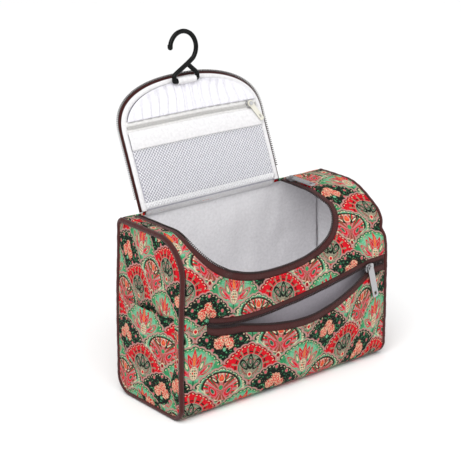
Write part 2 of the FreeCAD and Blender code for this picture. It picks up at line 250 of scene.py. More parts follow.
row = cloth_t.join("FLOOR")
centre = ((cloth_s - row) * 0.5).join("ROUND") * 2.0 + row
a0, b0 = cloth_s - centre, cloth_t - row
bend = b0.join("ARCTAN2", a0)
lobe = (bend * 9.0).join("SINE").size().power(0.6)
scale_power = 1.42
dome = a0.size().power(scale_power) + (b0 / 0.92).power(scale_power)
reach = dome.power(1 / scale_power) - (lobe * 0.08 + 0.92)
on_top = reach.rises(0.004, -0.004)
outline = reach.size().rises(0.046, 0.030)
dark_line = (reach + 0.075).size().rises(0.024, 0.012)
beads = (bend * 34.0).join("SINE").rises(-0.1, 0.4) * (reach + 0.115).size().rises(0.032, 0.018)
below = 1.0 - on_top
column = centre + below * a0.join("SIGN")
line = row + below
a1, b1 = (cloth_s - column) * (scale_half_wide / scale_high), cloth_t - line
half = a1.size()
odd_line = (line * 0.5).join("FRACT") * 2.0
odd_pair = ((column + line) * 0.25).join("FRACT").rises(0.2, 0.3)
odd_line = odd_line.rises(0.4, 0.6)

# the crimson fan
fan = far(half / 1.2, b1 + 0.18)
fan_turn = (b1 + 0.18).join("ARCTAN2", half / 1.2)
ray = (fan_turn * 8.0 + 1.57).join("SINE").size()
ray_zone = fan.rises(0.52, 0.56) * fan.rises(0.88, 0.80) * (b1 + 0.36).rises(0.0, 0.06)
ray_slim = ray.rises(fan * 0.62, fan * 0.62 - 0.14)
dots = (fan_turn * 17.0).join("SINE").size().rises(0.5, 0.7) * (fan - 0.36).size().rises(0.045, 0.02)
middle_loop = petal(a1, b1, (0.0, 0.06), 0.33, 0.15, 0, 0.3)
side_loop = petal(half, b1, (0.33, -0.08), 0.28, 0.14, 40, -0.3)
loops = middle_loop.least(side_loop)
seed = far(a1, b1 + 0.52)
stem_green = (half * 1.3 + (b1 + 0.72).size()).rises(0.10, 0.06)
crimson_fan = painted(
    print_group, crimson,
    ((b1 + 0.55).rises(0.0, -0.3) * 0.5, deep_red),
    (ray_zone * ray_slim, sage),
    (ray_zone * ray_slim * ray.rises(0.10, 0.04), coral),
    ((fan - 0.68).size().rises(0.035, 0.02) * ray.rises(0.5, 0.7), near_black),
    (fan.rises(0.60, 0.57), dusty_pink),
    (fan.rises(0.56, 0.53), leaf_green),
    (fan.rises(0.53, 0.50), sage),
    (fan.rises(0.50, 0.46) * (fan_turn * 24.0).join("SINE").rises(0.3, 0.6), dusty_pink),
    (dots, deep_red),
    (loops.rises(1.12, 1.02), near_black),
    (loops.rises(0.72, 0.66), sage),
    (loops.rises(0.52, 0.46), near_black),
    (loops.rises(0.36, 0.28), dusty_pink),
    (seed.rises(0.125, 0.11), cream),
    (seed.rises(0.085, 0.07), crimson),
    (stem_green, emerald),
)

# the green lotus
rim = far(a1 / 1.42, b1).rises(0.72, 0.62)
lotus_side = petal(half, b1, (0.62, -0.12), 0.50, 0.20, 52, 0.45)
lotus_tall = petal(half, b1, (0.36, 0.02), 0.56, 0.20, 24, 0.55)
lotus = lotus_side.least(lotus_tall)
tulip = petal(half, b1, (0.17, 0.20), 0.36, 0.13, 26, 0.5).least(petal(a1, b1, (0.0, 0.34), 0.42, 0.13, 0, 0.7))
tulip_heart = petal(a1, b1, (0.0, 0.30), 0.26, 0.055, 0, 0.5)
oval = far(a1 / 0.20, (b1 + 0.30) / 0.30)
oval_dots = (a1 * 30.0).join("SINE") * (b1 * 26.0).join("SINE")
red_leaf = petal(half, b1, (0.42, -0.24), 0.34, 0.075, 50, 0.3)
stalk = half.rises(0.05, 0.03) * (b1 + 0.62).rises(0.02, -0.02)
green_lotus = painted(
    print_group, emerald,
    (rim, mint),
    (lotus.rises(1.14, 1.06), dusty_pink),
    (lotus.rises(1.00, 0.94), mint),
    (lotus.rises(0.80, 0.74), crimson),
    (lotus.rises(0.66, 0.60), dusty_pink),
    (lotus.rises(0.46, 0.38), emerald),
    (lotus.rises(0.28, 0.2), cream),
    (red_leaf.rises(1.05, 0.92), rose_pink),
    (red_leaf.rises(0.6, 0.4), crimson),
    (tulip.rises(1.18, 1.10), dusty_pink),
    (tulip.rises(1.02, 0.94), crimson),
    (tulip.rises(0.62, 0.55), dusty_pink),
    (tulip.rises(0.44, 0.36), crimson),
    (tulip_heart.rises(1.2, 1.0), orange),
    (oval.rises(1.14, 1.06), dusty_pink),
    (oval.rises(1.0, 0.94), cream),
    (oval.rises(0.85, 0.8) * oval_dots.size().rises(0.45, 0.6), leaf_green),
    (oval.rises(0.5, 0.4) * oval_dots.rises(0.25, 0.4), crimson),
    (stalk, leaf_green),
)

# the rose posy
leaf_noise = print_group.nodes.new("ShaderNodeTexVoronoi")
leaf_noise.inputs["Scale"].default_value = 10.0
print_group.links.new(print_in.outputs["Cloth"], leaf_noise.inputs["Vector"])
leaf_cell = Trace(print_group, leaf_noise.outputs["Distance"])
curl_noise = print_group.nodes.new("ShaderNodeTexNoise")
curl_noise.inputs["Scale"].default_value = 13.0
print_group.links.new(print_in.outputs["Cloth"], curl_noise.inputs["Vector"])
curl = Trace(print_group, curl_noise.outputs["Fac"])
posy_zone = far(a1 / 1.12, b1 + 0.08).rises(0.74, 0.66)
rose_low = far(half - 0.27, b1 + 0.06)
rose_top = far(a1 - 0.03, b1 - 0.20)
rose = rose_low.least(rose_top)
rose_ring = ((rose + curl * 0.5) * 44.0).join("SINE")
bud = far(half - 0.86, b1 - 0.10).least(far(half - 0.56, b1 - 0.50)).least(far(a1, b1 - 0.72))
bud = bud.least(far(half - 0.58, b1 + 0.34))
rose_posy = painted(
    print_group, near_black,
    (leaf_cell.rises(0.40, 0.33), leaf_green),
    (posy_zone * leaf_cell.rises(0.30, 0.24), emerald),
    (posy_zone * leaf_cell.rises(0.12, 0.07), cream),
    (bud.rises(0.115, 0.09), leaf_green),
    (bud.rises(0.085, 0.065), rose_pink),
    ((rose + curl * 0.3).rises(0.44, 0.42), near_black),
    ((rose + curl * 0.3).rises(0.41, 0.38), coral),
    ((rose + curl * 0.3).rises(0.40, 0.37) * rose_ring.rises(0.1, 0.4), cream),
    ((rose + curl * 0.3).rises(0.38, 0.34) * rose_ring.rises(-0.4, -0.7), crimson),
    (far(a1 - 0.02, b1 + 0.33).rises(0.09, 0.07), mint),
)

# the lace fan
lace_beads = (bend * 26.0).join("SINE").size()
veil = far(a1 / 1.42, b1)
lower_edge = (half * 0.78 + (b1 * -1.0)).rises(0.78, 0.86) * (b1 * -1.0).rises(0.0, 0.1)
bead_run = ((half - b1) * 26.0).join("SINE").rises(-0.1, 0.3)
drop_red = petal(half, b1, (0.42, -0.16), 0.31, 0.15, 42, 0.35)
ray_lace = ((b1 + 0.2).join("ARCTAN2", half) * 14.0).join("SINE")
eye = far(a1, b1 + 0.02)
bud_top = petal(a1, b1, (0.0, 0.42), 0.17, 0.13, 0, 0.5)
bud_leaf = petal(half, b1, (0.36, 0.34), 0.26, 0.07, 55, 0.2)
tip_gem = far(a1, b1 + 0.74)
lace_fan = painted(
    print_group, crimson,
    (ray_lace.rises(0.2, 0.5), dusty_pink),
    (ray_lace.rises(-0.6, -0.85), leaf_green),
    (veil.rises(0.66, 0.70), leaf_green),
    ((veil - 0.75).size().rises(0.03, 0.018), mint),
    (lace_beads.rises(0.35, 0.6) * (veil - 0.82).size().rises(0.05, 0.03), cream),
    ((veil - 0.60).size().rises(0.03, 0.018) * (bend * 30.0).join("SINE").rises(0.1, 0.4), cream),
    ((veil - 0.66).size().rises(0.03, 0.02), near_black),
    ((veil - 0.88).size().rises(0.035, 0.02) * lace_beads.rises(0.3, 0.5), leaf_green),
    (drop_red.rises(1.16, 1.06), rose_pink),
    (drop_red.rises(0.92, 0.86), crimson),
    (drop_red.rises(0.62, 0.54), dusty_pink),
    (drop_red.rises(0.42, 0.36), leaf_green),
    (bud_leaf.rises(1.1, 0.95), near_black),
    (bud_leaf.rises(0.6, 0.5), cream),
    (bud_top.rises(1.2, 1.1), cream),
    (bud_top.rises(1.0, 0.9), coral),
    (bud_top.rises(0.5, 0.3), orange),
    (eye.rises(0.17, 0.15), rose_pink),
    (eye.rises(0.12, 0.10), emerald),
    (lower_edge, mint),
    (lower_edge * bead_run, cream),
    (tip_gem.rises(0.15, 0.13), cream),
    (tip_gem.rises(0.10, 0.08), deep_red),
)

even_rows = painted(print_group, green_lotus, (odd_pair, crimson_fan))
odd_rows = painted(print_group, lace_fan, (odd_pair, rose_posy))
motifs = painted(print_group, even_rows, (odd_line, odd_rows))
speck_noise = print_group.nodes.new("ShaderNodeTexVoronoi")
speck_noise.inputs["Scale"].default_value = 15.0
print_group.links.new(print_in.outputs["Cloth"], speck_noise.inputs["Vector"])
speck = Trace(print_group, speck_noise.outputs["Distance"])
inked = painted(print_group, motifs,
                ((speck - 0.42).size().rises(0.05, 0.03) * 0.55, near_black),
                (speck.rises(0.15, 0.10) * leaf_cell.rises(0.30, 0.36) * 0.75, cream),
                (dark_line, near_black), (beads * 0.8, cream), (outline, dusty_pink))
deeper = print_group.nodes.new("ShaderNodeGamma")
deeper.inputs["Gamma"].default_value = 1.2
print_group.links.new(inked, deeper.inputs["Color"])
print_group.links.new(deeper.outputs["Color"], print_out.inputs["Color"])

# Threads of a plain weave, counted in millimetres along and across the cloth.
weave_group, weave_in, weave_out = new_group(
    "plain_weave",
    [("Along", "NodeSocketVector", None), ("Pitch", "NodeSocketFloat", 0.6)],
    [("Height", "NodeSocketFloat"), ("Shade", "NodeSocketFloat")],
)
weave_place = weave_group.nodes.new("ShaderNodeSeparateXYZ")
weave_group.links.new(weave_in.outputs["Along"], weave_place.inputs[0])
pitch = Trace(weave_group, weave_in.outputs["Pitch"])
warp = Trace(weave_group, weave_place.outputs["X"]) * math.pi / pitch
weft = Trace(weave_group, weave_place.outputs["Y"]) * math.pi / pitch
over = (warp.join("SINE") * weft.join("COSINE"))
threads = warp.join("SINE").size() * over.rises(-0.2, 0.2) + weft.join("COSINE").size() * over.rises(0.2, -0.2)
slub_noise = weave_group.nodes.new("ShaderNodeTexNoise")
slub_noise.inputs["Scale"].default_value = 0.35
weave_group.links.new(weave_in.outputs["Along"], slub_noise.inputs["Vector"])
slub = Trace(weave_group, slub_noise.outputs["Fac"])
weave_group.links.new((threads * (slub * 0.6 + 0.7)).socket, weave_out.inputs["Height"])
# Shade is the slub noise, the yarn's own uneven tone, plus painted shade: the gaps between threads are darker than
# their crests.
weave_group.links.new((threads * 0.12 + slub * 0.3 + 0.76).socket, weave_out.inputs["Shade"])


def fibre_material(name, base, roughness, sheen, pitch_mm, bump, stretch=(1.0, 1.0)):
    """A woven finish. base is a colour, or None for the flower print."""
    material = bpy.data.materials.new(name)
    material.use_nodes = True
    tree = material.node_tree
    shader = tree.nodes["Principled BSDF"]
    shader.inputs["Roughness"].default_value = roughness
    shader.inputs["Sheen Weight"].default_value = sheen
    shader.inputs["Sheen Roughness"].default_value = 0.5
    shader.inputs["Specular IOR Level"].default_value = 0.10
    where = tree.nodes.new("ShaderNodeUVMap")
    where.uv_map = "cloth"
    spread = tree.nodes.new("ShaderNodeMapping")
    spread.inputs["Scale"].default_value = (stretch[0], stretch[1], 1)
    tree.links.new(where.outputs["UV"], spread.inputs["Vector"])
    weave = tree.nodes.new("ShaderNodeGroup")
    weave.node_tree = weave_group
    weave.inputs["Pitch"].default_value = pitch_mm
    tree.links.new(spread.outputs["Vector"], weave.inputs["Along"])
    # The base colour is multiplied by the weave's Shade, which holds painted shade between the threads as well as
    # the slub tone.
    tint = tree.nodes.new("ShaderNodeMix")
    tint.data_type, tint.blend_type = "RGBA", "MULTIPLY"
    tint.inputs["Factor"].default_value = 1.0
    if base is None:
        flowers = tree.nodes.new("ShaderNodeGroup")
        flowers.node_tree = print_group
        tree.links.new(where.outputs["UV"], flowers.inputs["Cloth"])
        tree.links.new(flowers.outputs["Color"], tint.inputs["A"])
    else:
        tint.inputs["A"].default_value = (*base, 1)
    tree.links.new(weave.outputs["Shade"], tint.inputs["B"])
    tree.links.new(tint.outputs["Result"], shader.inputs["Base Color"])
    raised = tree.nodes.new("ShaderNodeBump")
    raised.inputs["Strength"].default_value = bump
    raised.inputs["Distance"].default_value = 0.0003
    tree.links.new(weave.outputs["Height"], raised.inputs["Height"])
    tree.links.new(raised.outputs["Normal"], shader.inputs["Normal"])
    return material


printed_cloth = fibre_material("printed_cloth", None, 0.7, 0.0, 0.62, 0.35, (scale_half_wide, scale_high))

# ---- Body: the soft box ----
# One long piece of printed cloth goes round the bag from end to end: up the front, over the top,
# down the back and under. Its front top edge is tight at the left end and full at the right.
# skin() gives a point of it from x along the bag and v measured up the front and on round.

front_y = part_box("front_upper_panel")[0].y / mm
back_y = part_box("back_panel")[1].y / mm
top_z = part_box("back_panel")[1].z / mm
wrap_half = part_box("back_panel")[1].x / mm
hinge_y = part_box("front_upper_panel")[1].y / mm
left_corner, right_corner = 37.0, 60.0
toe, heel, shoulder = 14.0, 18.0, 7.0
corner_from, corner_to = 100.0, 20.0  # z on the front wall, y on the top
corner_run = 121.0
v_corner = corner_from + corner_run
v_hinge = v_corner + hinge_y - corner_to
v_back = v_hinge + shoulder * math.pi / 2
v_heel = v_back + top_z - shoulder - heel
v_base = v_heel + heel * math.pi / 2
v_toe = toe - toe * math.pi / 2
v_round = v_base + (back_y - heel) - (front_y + toe)


def smooth(value):
    value = min(max(value, 0.0), 1.0)
    return value * value * (3 - 2 * value)


def profile_place(x, v):
    """y, z and the outward direction of the tight profile."""
    radius = left_corner + (right_corner - left_corner) * smooth((x + wrap_half) / (2 * wrap_half))
    if v < v_toe:
        return front_y + toe + (v_toe - v), 0.0, 0.0, -1.0
    if v < toe:
        turn = (v - v_toe) / toe
        return front_y + toe - toe * math.sin(turn), toe - toe * math.cos(turn), -math.sin(turn), -math.cos(turn)
    if v < corner_from:
        return front_y, v, -1.0, 0.0
    if v < v_corner:
        rise = top_z - radius - corner_from
        flat = corner_to - front_y - radius
        run = (v - corner_from) / corner_run * (rise + radius * math.pi / 2 + flat)
        if run < rise:
            return front_y, corner_from + run, -1.0, 0.0
        turn = (run - rise) / radius
        if turn < math.pi / 2:
            return (front_y + radius - radius * math.cos(turn), top_z - radius + radius * math.sin(turn),
                    -math.cos(turn), math.sin(turn))
        return front_y + radius + (turn - math.pi / 2) * radius, top_z, 0.0, 1.0
    if v < v_hinge:
        return corner_to + v - v_corner, top_z, 0.0, 1.0
    if v < v_back:
        turn = (v - v_hinge) / shoulder
        return (hinge_y + shoulder * math.sin(turn), top_z - shoulder + shoulder * math.cos(turn),
                math.sin(turn), math.cos(turn))
    if v < v_heel:
        return back_y, top_z - shoulder - (v - v_back), 1.0, 0.0
    if v < v_base:
        turn = (v - v_heel) / heel
        return (back_y - heel + heel * math.cos(turn), heel - heel * math.sin(turn),
                math.cos(turn), -math.sin(turn))
    return back_y - heel - (v - v_base), 0.0, 0.0, -1.0


def slack(x, v, z):
    """How far the stuffed cloth stands out from the tight profile."""
    between = max(0.0, math.cos(math.pi * x / (2 * wrap_half)))
    out = 0.0
    if 6 < v < 118:
        out += 2.6 * between ** 0.7 * math.sin(math.pi * (v - 6) / 112)
    elif v_back < v < v_heel:
        out += 2.0 * between ** 0.7 * math.sin(math.pi * (v - v_back) / (v_heel - v_back))
    out += 1.3 * noise.noise(Vector((x / 46, v / 38, 3.1))) * between ** 0.3
    out += 0.5 * noise.noise(Vector((x / 15, v / 21, 7.7)))
    if 106 < v < v_hinge:
        # a fold by the left piping, and a crease right of the opening with a fuller roll above it
        ridge = x + 84 - 0.75 * (v - 128)
        out += 1.9 * math.exp(-(ridge / 9) ** 2) * smooth((v - 108) / 16) * smooth((176 - v) / 34)
        out -= 1.5 * math.exp(-((ridge - 19) / 8) ** 2) * smooth((v - 108) / 16) * smooth((170 - v) / 34)
        crease = v - 131 - 0.10 * (x - 90) - 3 * noise.noise(Vector((x / 26, 4.4, 0.0)))
        beyond = smooth((x - 76) / 22)
        out -= 3.2 * math.exp(-(crease / 5.0) ** 2) * beyond
        out += 2.4 * math.exp(-((crease - 17) / 11) ** 2) * beyond
    near = wrap_half - abs(x)
    pucker = math.sin(v * 0.62 + 2.5 * noise.noise(Vector((v / 20, x / 90, 1.0))))
    out += 0.14 * pucker * math.exp(-near / 7)
    if 70 < v < 108:
        # the cloth is held flat at the pocket zip's left end
        zip_end = smooth((-x - 66) / 12) * smooth((v - 70) / 8) * smooth((108 - v) / 8)
        out -= max(out, 0.0) * 0.95 * zip_end
    return out * smooth(z / 14)


def drawn_in(x, z):
    """The ends lean in a little towards the top."""
    return x * (1 - 0.026 * smooth((z - 70) / 100))


def skin(x, v, out=0.0):
    y, z, out_y, out_z = profile_place(x, v)
    out += slack(min(max(x, -wrap_half), wrap_half), v, z)
    return Vector((drawn_in(x, z), y + out_y * out, z + out_z * out))


def skin_out(x, v):
    y, z, out_y, out_z = profile_place(x, v)
    return Vector((0, out_y, out_z))


def new_piece(name, points, faces, cloth=None, material=None, smooth_faces=True):
    """A mesh object from points in millimetres; cloth gives each point's place on its cloth."""
    mesh = bpy.data.meshes.new(name)
    mesh.from_pydata([tuple(c * mm for c in point) for point in points], [], faces)
    layer = mesh.uv_layers.new(name="cloth")
    for loop in mesh.loops:
        if cloth:
            layer.data[loop.index].uv = cloth[loop.vertex_index]
        else:
            point = points[loop.vertex_index]
            layer.data[loop.index].uv = (point[0] + point[1], point[2])
    mesh.polygons.foreach_set("use_smooth", [smooth_faces] * len(mesh.polygons))
    mesh.update()
    piece = bpy.data.objects.new(name, mesh)
    scene.collection.objects.link(piece)
    if material:
        mesh.materials.append(material)
    return piece


def woven(name, rows, cloth_rows, material, thick=0.0, closed=False, side=-1.0):
    """A sheet through rows of points. A thickness is laid behind it, on the side away from its face."""
    wide = len(rows[0])
    across = wide if closed else wide - 1
    faces = [
        (r * wide + c, r * wide + (c + 1) % wide, (r + 1) * wide + (c + 1) % wide, (r + 1) * wide + c)
        for r in range(len(rows) - 1) for c in range(across)
    ]
    points = [point for each in rows for point in each]
    cloth = [place for each in cloth_rows for place in each] if cloth_rows else None
    piece = new_piece(name, points, faces, cloth, material)
    if thick:
        body = piece.modifiers.new("thickness", "SOLIDIFY")
        body.thickness = thick * mm
        body.offset = side
        body.use_even_offset = False
    return piece


def steps(start, end, count):
    return [start + (end - start) * k / count for k in range(count + 1)]


panel_thick = 2.2


def mend(piece, join, turn_out=True):
    """Joins points that meet within a distance and turns every face outward."""
    mesh = bmesh.new()
    mesh.from_mesh(piece.data)
    if join:
        bmesh.ops.remove_doubles(mesh, verts=mesh.verts, dist=join)
    if turn_out:
        bmesh.ops.recalc_face_normals(mesh, faces=mesh.faces)
    mesh.to_mesh(piece.data)
    mesh.free()


# ---- Front: lower panel ----
# Printed, foam-backed front below the pocket zip. It turns under the bottom edge and its top
# edge is sewn to the zip's lower tape, hanging open in a sagging curve.

zip_left, zip_right = -97.0, 103.0
zip_low, zip_rise = 90.0, 8.0
lower_sag, upper_sag = 24.0, 11.5
lip_to_cloth_low, lip_to_cloth_high = 9.0, 7.6


def zip_share(x):
    return min(max((x - zip_left) / (zip_right - zip_left), 0.0), 1.0)


def zip_base(x):
    return zip_low + zip_rise * (x - zip_left) / (zip_right - zip_left)


def upper_lip(x):
    return zip_base(x) - upper_sag * math.sin(math.pi * zip_share(x) ** 0.62)


def lower_lip(x):
    hang = lower_sag * abs(math.sin(math.pi * zip_share(x) ** 1.25)) ** 0.9
    return min(zip_base(x) - hang, upper_lip(x)) - 0.5


def window_share(x):
    """0 left of the zip's blunt end, 1 along the zip."""
    return smooth((x - zip_left + 1.0) / 0.8)


def lower_edge_v(x):
    closed = zip_low - 1.0
    return closed + (lower_lip(x) - lip_to_cloth_low - closed) * window_share(x)


def upper_edge_v(x):
    closed = zip_low - 0.9
    return closed + (upper_lip(x) + lip_to_cloth_high - closed) * window_share(x)


def stretched(x, knots):
    """Straight runs between (x, value) knots, carried on past both ends."""
    for (x0, y0), (x1, y1) in zip(knots, knots[1:]):
        if x <= x1 or (x1, y1) == knots[-1]:
            return y0 + (y1 - y0) * (x - x0) / (x1 - x0)


repeat_run = ((-112.6, 0.0), (-48.4, 2.0), (17.0, 4.0), (69.2, 6.0), (95.0, 7.3))
repeat_lift = ((-112.6, 53.0), (-48.4, 39.6), (17.0, 25.8), (69.2, 27.3), (90.0, 37.7))


def lower_cloth(x, v):
    t = (v - stretched(x, repeat_lift)) / scale_high
    return stretched(x - 1.5 * t, repeat_run), t


def gape(x, v):
    """How far the lower panel's hanging edge stands forward."""
    hang = (upper_lip(x) - lower_lip(x)) / lower_sag
    return 5.0 * min(hang, 1.0) * smooth(1 - (lower_edge_v(x) - v) / 42)


front_columns = sorted(steps(-wrap_half, zip_left - 2, 14) + steps(zip_left - 1.2, zip_left + 0.2, 4)
                       + steps(zip_left + 1.5, wrap_half, 104))
v_under = -40.0
rows, cloth_rows = [], []
for share in steps(0.0, 1.0, 60):
    places = [(x, v_under + (lower_edge_v(x) - v_under) * share) for x in front_columns]
    rows.append([skin(x, v, gape(x, v)) for x, v in places])
    cloth_rows.append([lower_cloth(x, v) for x, v in places])
lower_panel = woven("front_lower_cloth", rows, cloth_rows, printed_cloth, panel_thick)
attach(lower_panel, "bag")
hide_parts("front_lower_panel")

# ---- Front: upper panel ----
# Printed, foam-backed cloth between the pocket zip and the main opening. It runs round the
# opening and back to the hinge on both sides, with the opening's edge hanging a little slack.

opening_x = (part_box("main_zip_tape")[0].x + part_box("main_zip_tape")[1].x) / 2 / mm
opening_half = (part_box("main_zip_tape")[1].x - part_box("main_zip_tape")[0].x) / 2 / mm
opening_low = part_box("main_zip_tape")[0].z / mm + 1.0
opening_rise = 60.0
left_power, right_power = 2.05, 2.2
right_spread = 3.5


def opening_edge(share, inside):
    """x and v of the main opening's edge, from the left of the hinge round the front to its right."""
    half_x, rise = opening_half - inside, opening_rise - inside
    middle_v = opening_low + opening_rise
    straight = v_hinge - middle_v
    turn_share = 0.24
    if share < turn_share:
        v = v_hinge - straight * share / turn_share
        return opening_x - half_x, v
    if share > 1 - turn_share:
        v = middle_v + straight * (share - 1 + turn_share) / turn_share
        return opening_x + half_x + right_spread * smooth((v_hinge - 48 - v) / 34), v
    turn = math.pi * (1 + (share - turn_share) / (1 - 2 * turn_share))
    c, s = math.cos(turn), math.sin(turn)
    power = 2 / (left_power if c < 0 else right_power)
    v = middle_v + rise * math.copysign(abs(s) ** power, s)
    x = opening_x + half_x * math.copysign(abs(c) ** power, c)
    return (x + right_spread * smooth(c / 0.35) if c > 0 else x), v


def even_edge(inside, count):
    """The opening's edge in equal steps."""
    line = [opening_edge(k / 1200, inside) for k in range(1201)]
    lengths = [0.0]
    for (x0, v0), (x1, v1) in zip(line, line[1:]):
        lengths.append(lengths[-1] + math.hypot(x1 - x0, v1 - v0))
    even, k = [], 0
    for n in range(count + 1):
        want = lengths[-1] * n / count
        while k < 1199 and lengths[k + 1] < want:
            k += 1
        part = (want - lengths[k]) / max(lengths[k + 1] - lengths[k], 1e-9)
        (x0, v0), (x1, v1) = line[k], line[k + 1]
        even.append((x0 + (x1 - x0) * part, v0 + (v1 - v0) * part))
    return even


def upper_cloth(x, v):
    across, up = x + 67.0, v - 114.5
    m_x, m_v, n_x, n_v = 29.0, -7.0, 1.5, 21.5
    whole = m_x * n_v - n_x * m_v
    return (across * n_v - n_x * up) / whole, (m_x * up - m_v * across) / whole


edge_count = 260
inner_line = even_edge(0.0, edge_count)
side_part = 0.30
outer_line = []
for k in range(edge_count + 1):
    share = k / edge_count
    if share < side_part:
        drop = share / side_part
        outer_line.append((-wrap_half, v_hinge + (upper_edge_v(-wrap_half) - v_hinge) * drop))
    elif share > 1 - side_part:
        drop = (1 - share) / side_part
        outer_line.append((wrap_half, v_hinge + (upper_edge_v(wrap_half) - v_hinge) * drop))
    else:
        x = -wrap_half + 2 * wrap_half * (share - side_part) / (1 - 2 * side_part)
        outer_line.append((x, upper_edge_v(x)))
rows, cloth_rows = [], []
for share in steps(0.0, 1.0, 24):
    places = [(xo + (xi - xo) * share, vo + (vi - vo) * share)
              for (xi, vi), (xo, vo) in zip(inner_line, outer_line)]
    rows.append([skin(x, v) for x, v in places])
    cloth_rows.append([upper_cloth(x, v) for x, v in places])
upper_panel = woven("front_upper_cloth", rows, cloth_rows, printed_cloth, panel_thick)
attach(upper_panel, "bag")
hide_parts("front_upper_panel")

# ---- Back and base ----
# The same cloth carried on from the hinge down the back, round the heel and under the bag,
# where a seam joins it to the front's turned-under edge.


def back_cloth(x, v):
    return -x / scale_half_wide + 0.4, (v_heel - v) / scale_high + 2.0


for name, v_from, v_to, count, node in (
    ("back_cloth", v_base + 0.2, v_hinge + 0.4, 80, "back_panel"),
    ("base_cloth", v_round + v_under - v_toe, v_base - 0.2, 24, "bottom_panel"),
):
    columns = steps(wrap_half, -wrap_half, 96)
    rows = [[skin(x, v) for x in columns] for v in steps(v_from, v_to, count)]
    cloth_rows = [[back_cloth(x, v) for x in columns] for v in steps(v_from, v_to, count)]
    panel = woven(name, rows, cloth_rows, printed_cloth, panel_thick)
    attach(panel, "bag")
    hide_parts(node)

# ---- Ends, piping and end pockets ----
# Each end is a printed panel sewn inside a cord covered in dark maroon satin. A patch pocket
# covers its lower part, open along a turned-over hem.

piping_satin = fibre_material("piping_satin", (0.060, 0.012, 0.011), 0.42, 0.15, 0.9, 0.5)
end_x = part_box("end_panel_right")[1].x / mm
piping_x = (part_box("end_piping_right")[0].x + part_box("end_piping_right")[1].x) / 2 / mm
piping_radius = 2.5
pocket_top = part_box("end_pocket_left")[1].z / mm
pocket_bulge = (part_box("end_pocket_right")[1].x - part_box("end_pocket_right")[0].x) / mm
end_middle = (0.0, 84.0)
around = steps(v_toe, v_round, 200)[:-1]


def end_ring(side, inset):
    """The end's outline moved inward."""
    return [skin(side * wrap_half, v, -inset) for v in around]


def end_cloth(side, y, z):
    across = side * y
    if side < 0:
        dx, dz = across + 10.0, z - 157.0
        m, n = (19.0, -7.0), (1.0, 20.5)
    else:
        dx, dz = across + 4.0, z - 150.0
        m, n = (27.0, -2.0), (1.0, 20.5)
    whole = m[0] * n[1] - n[0] * m[1]
    return (dx * n[1] - n[0] * dz) / whole, (m[0] * dz - m[1] * dx) / whole


def pocket_cloth(side, y, z):
    across = side * y
    t = (z - 44.0) / 20.5
    return 2.0 + (across + 5.0 - 2.4 * t) / 28.0, t


def end_sides(side, z, inset):
    """The two y limits of the end at a height, from its outline."""
    ring = end_ring_cache[side, inset]
    ys = []
    for p, q in zip(ring, ring[1:] + ring[:1]):
        if (p.z - z) * (q.z - z) <= 0 and p.z != q.z:
            ys.append(p.y + (q.y - p.y) * (z - p.z) / (q.z - p.z))
    return min(ys), max(ys)


end_ring_cache = {(side, inset): end_ring(side, inset) for side in (-1, 1) for inset in (4.2, 5.0)}

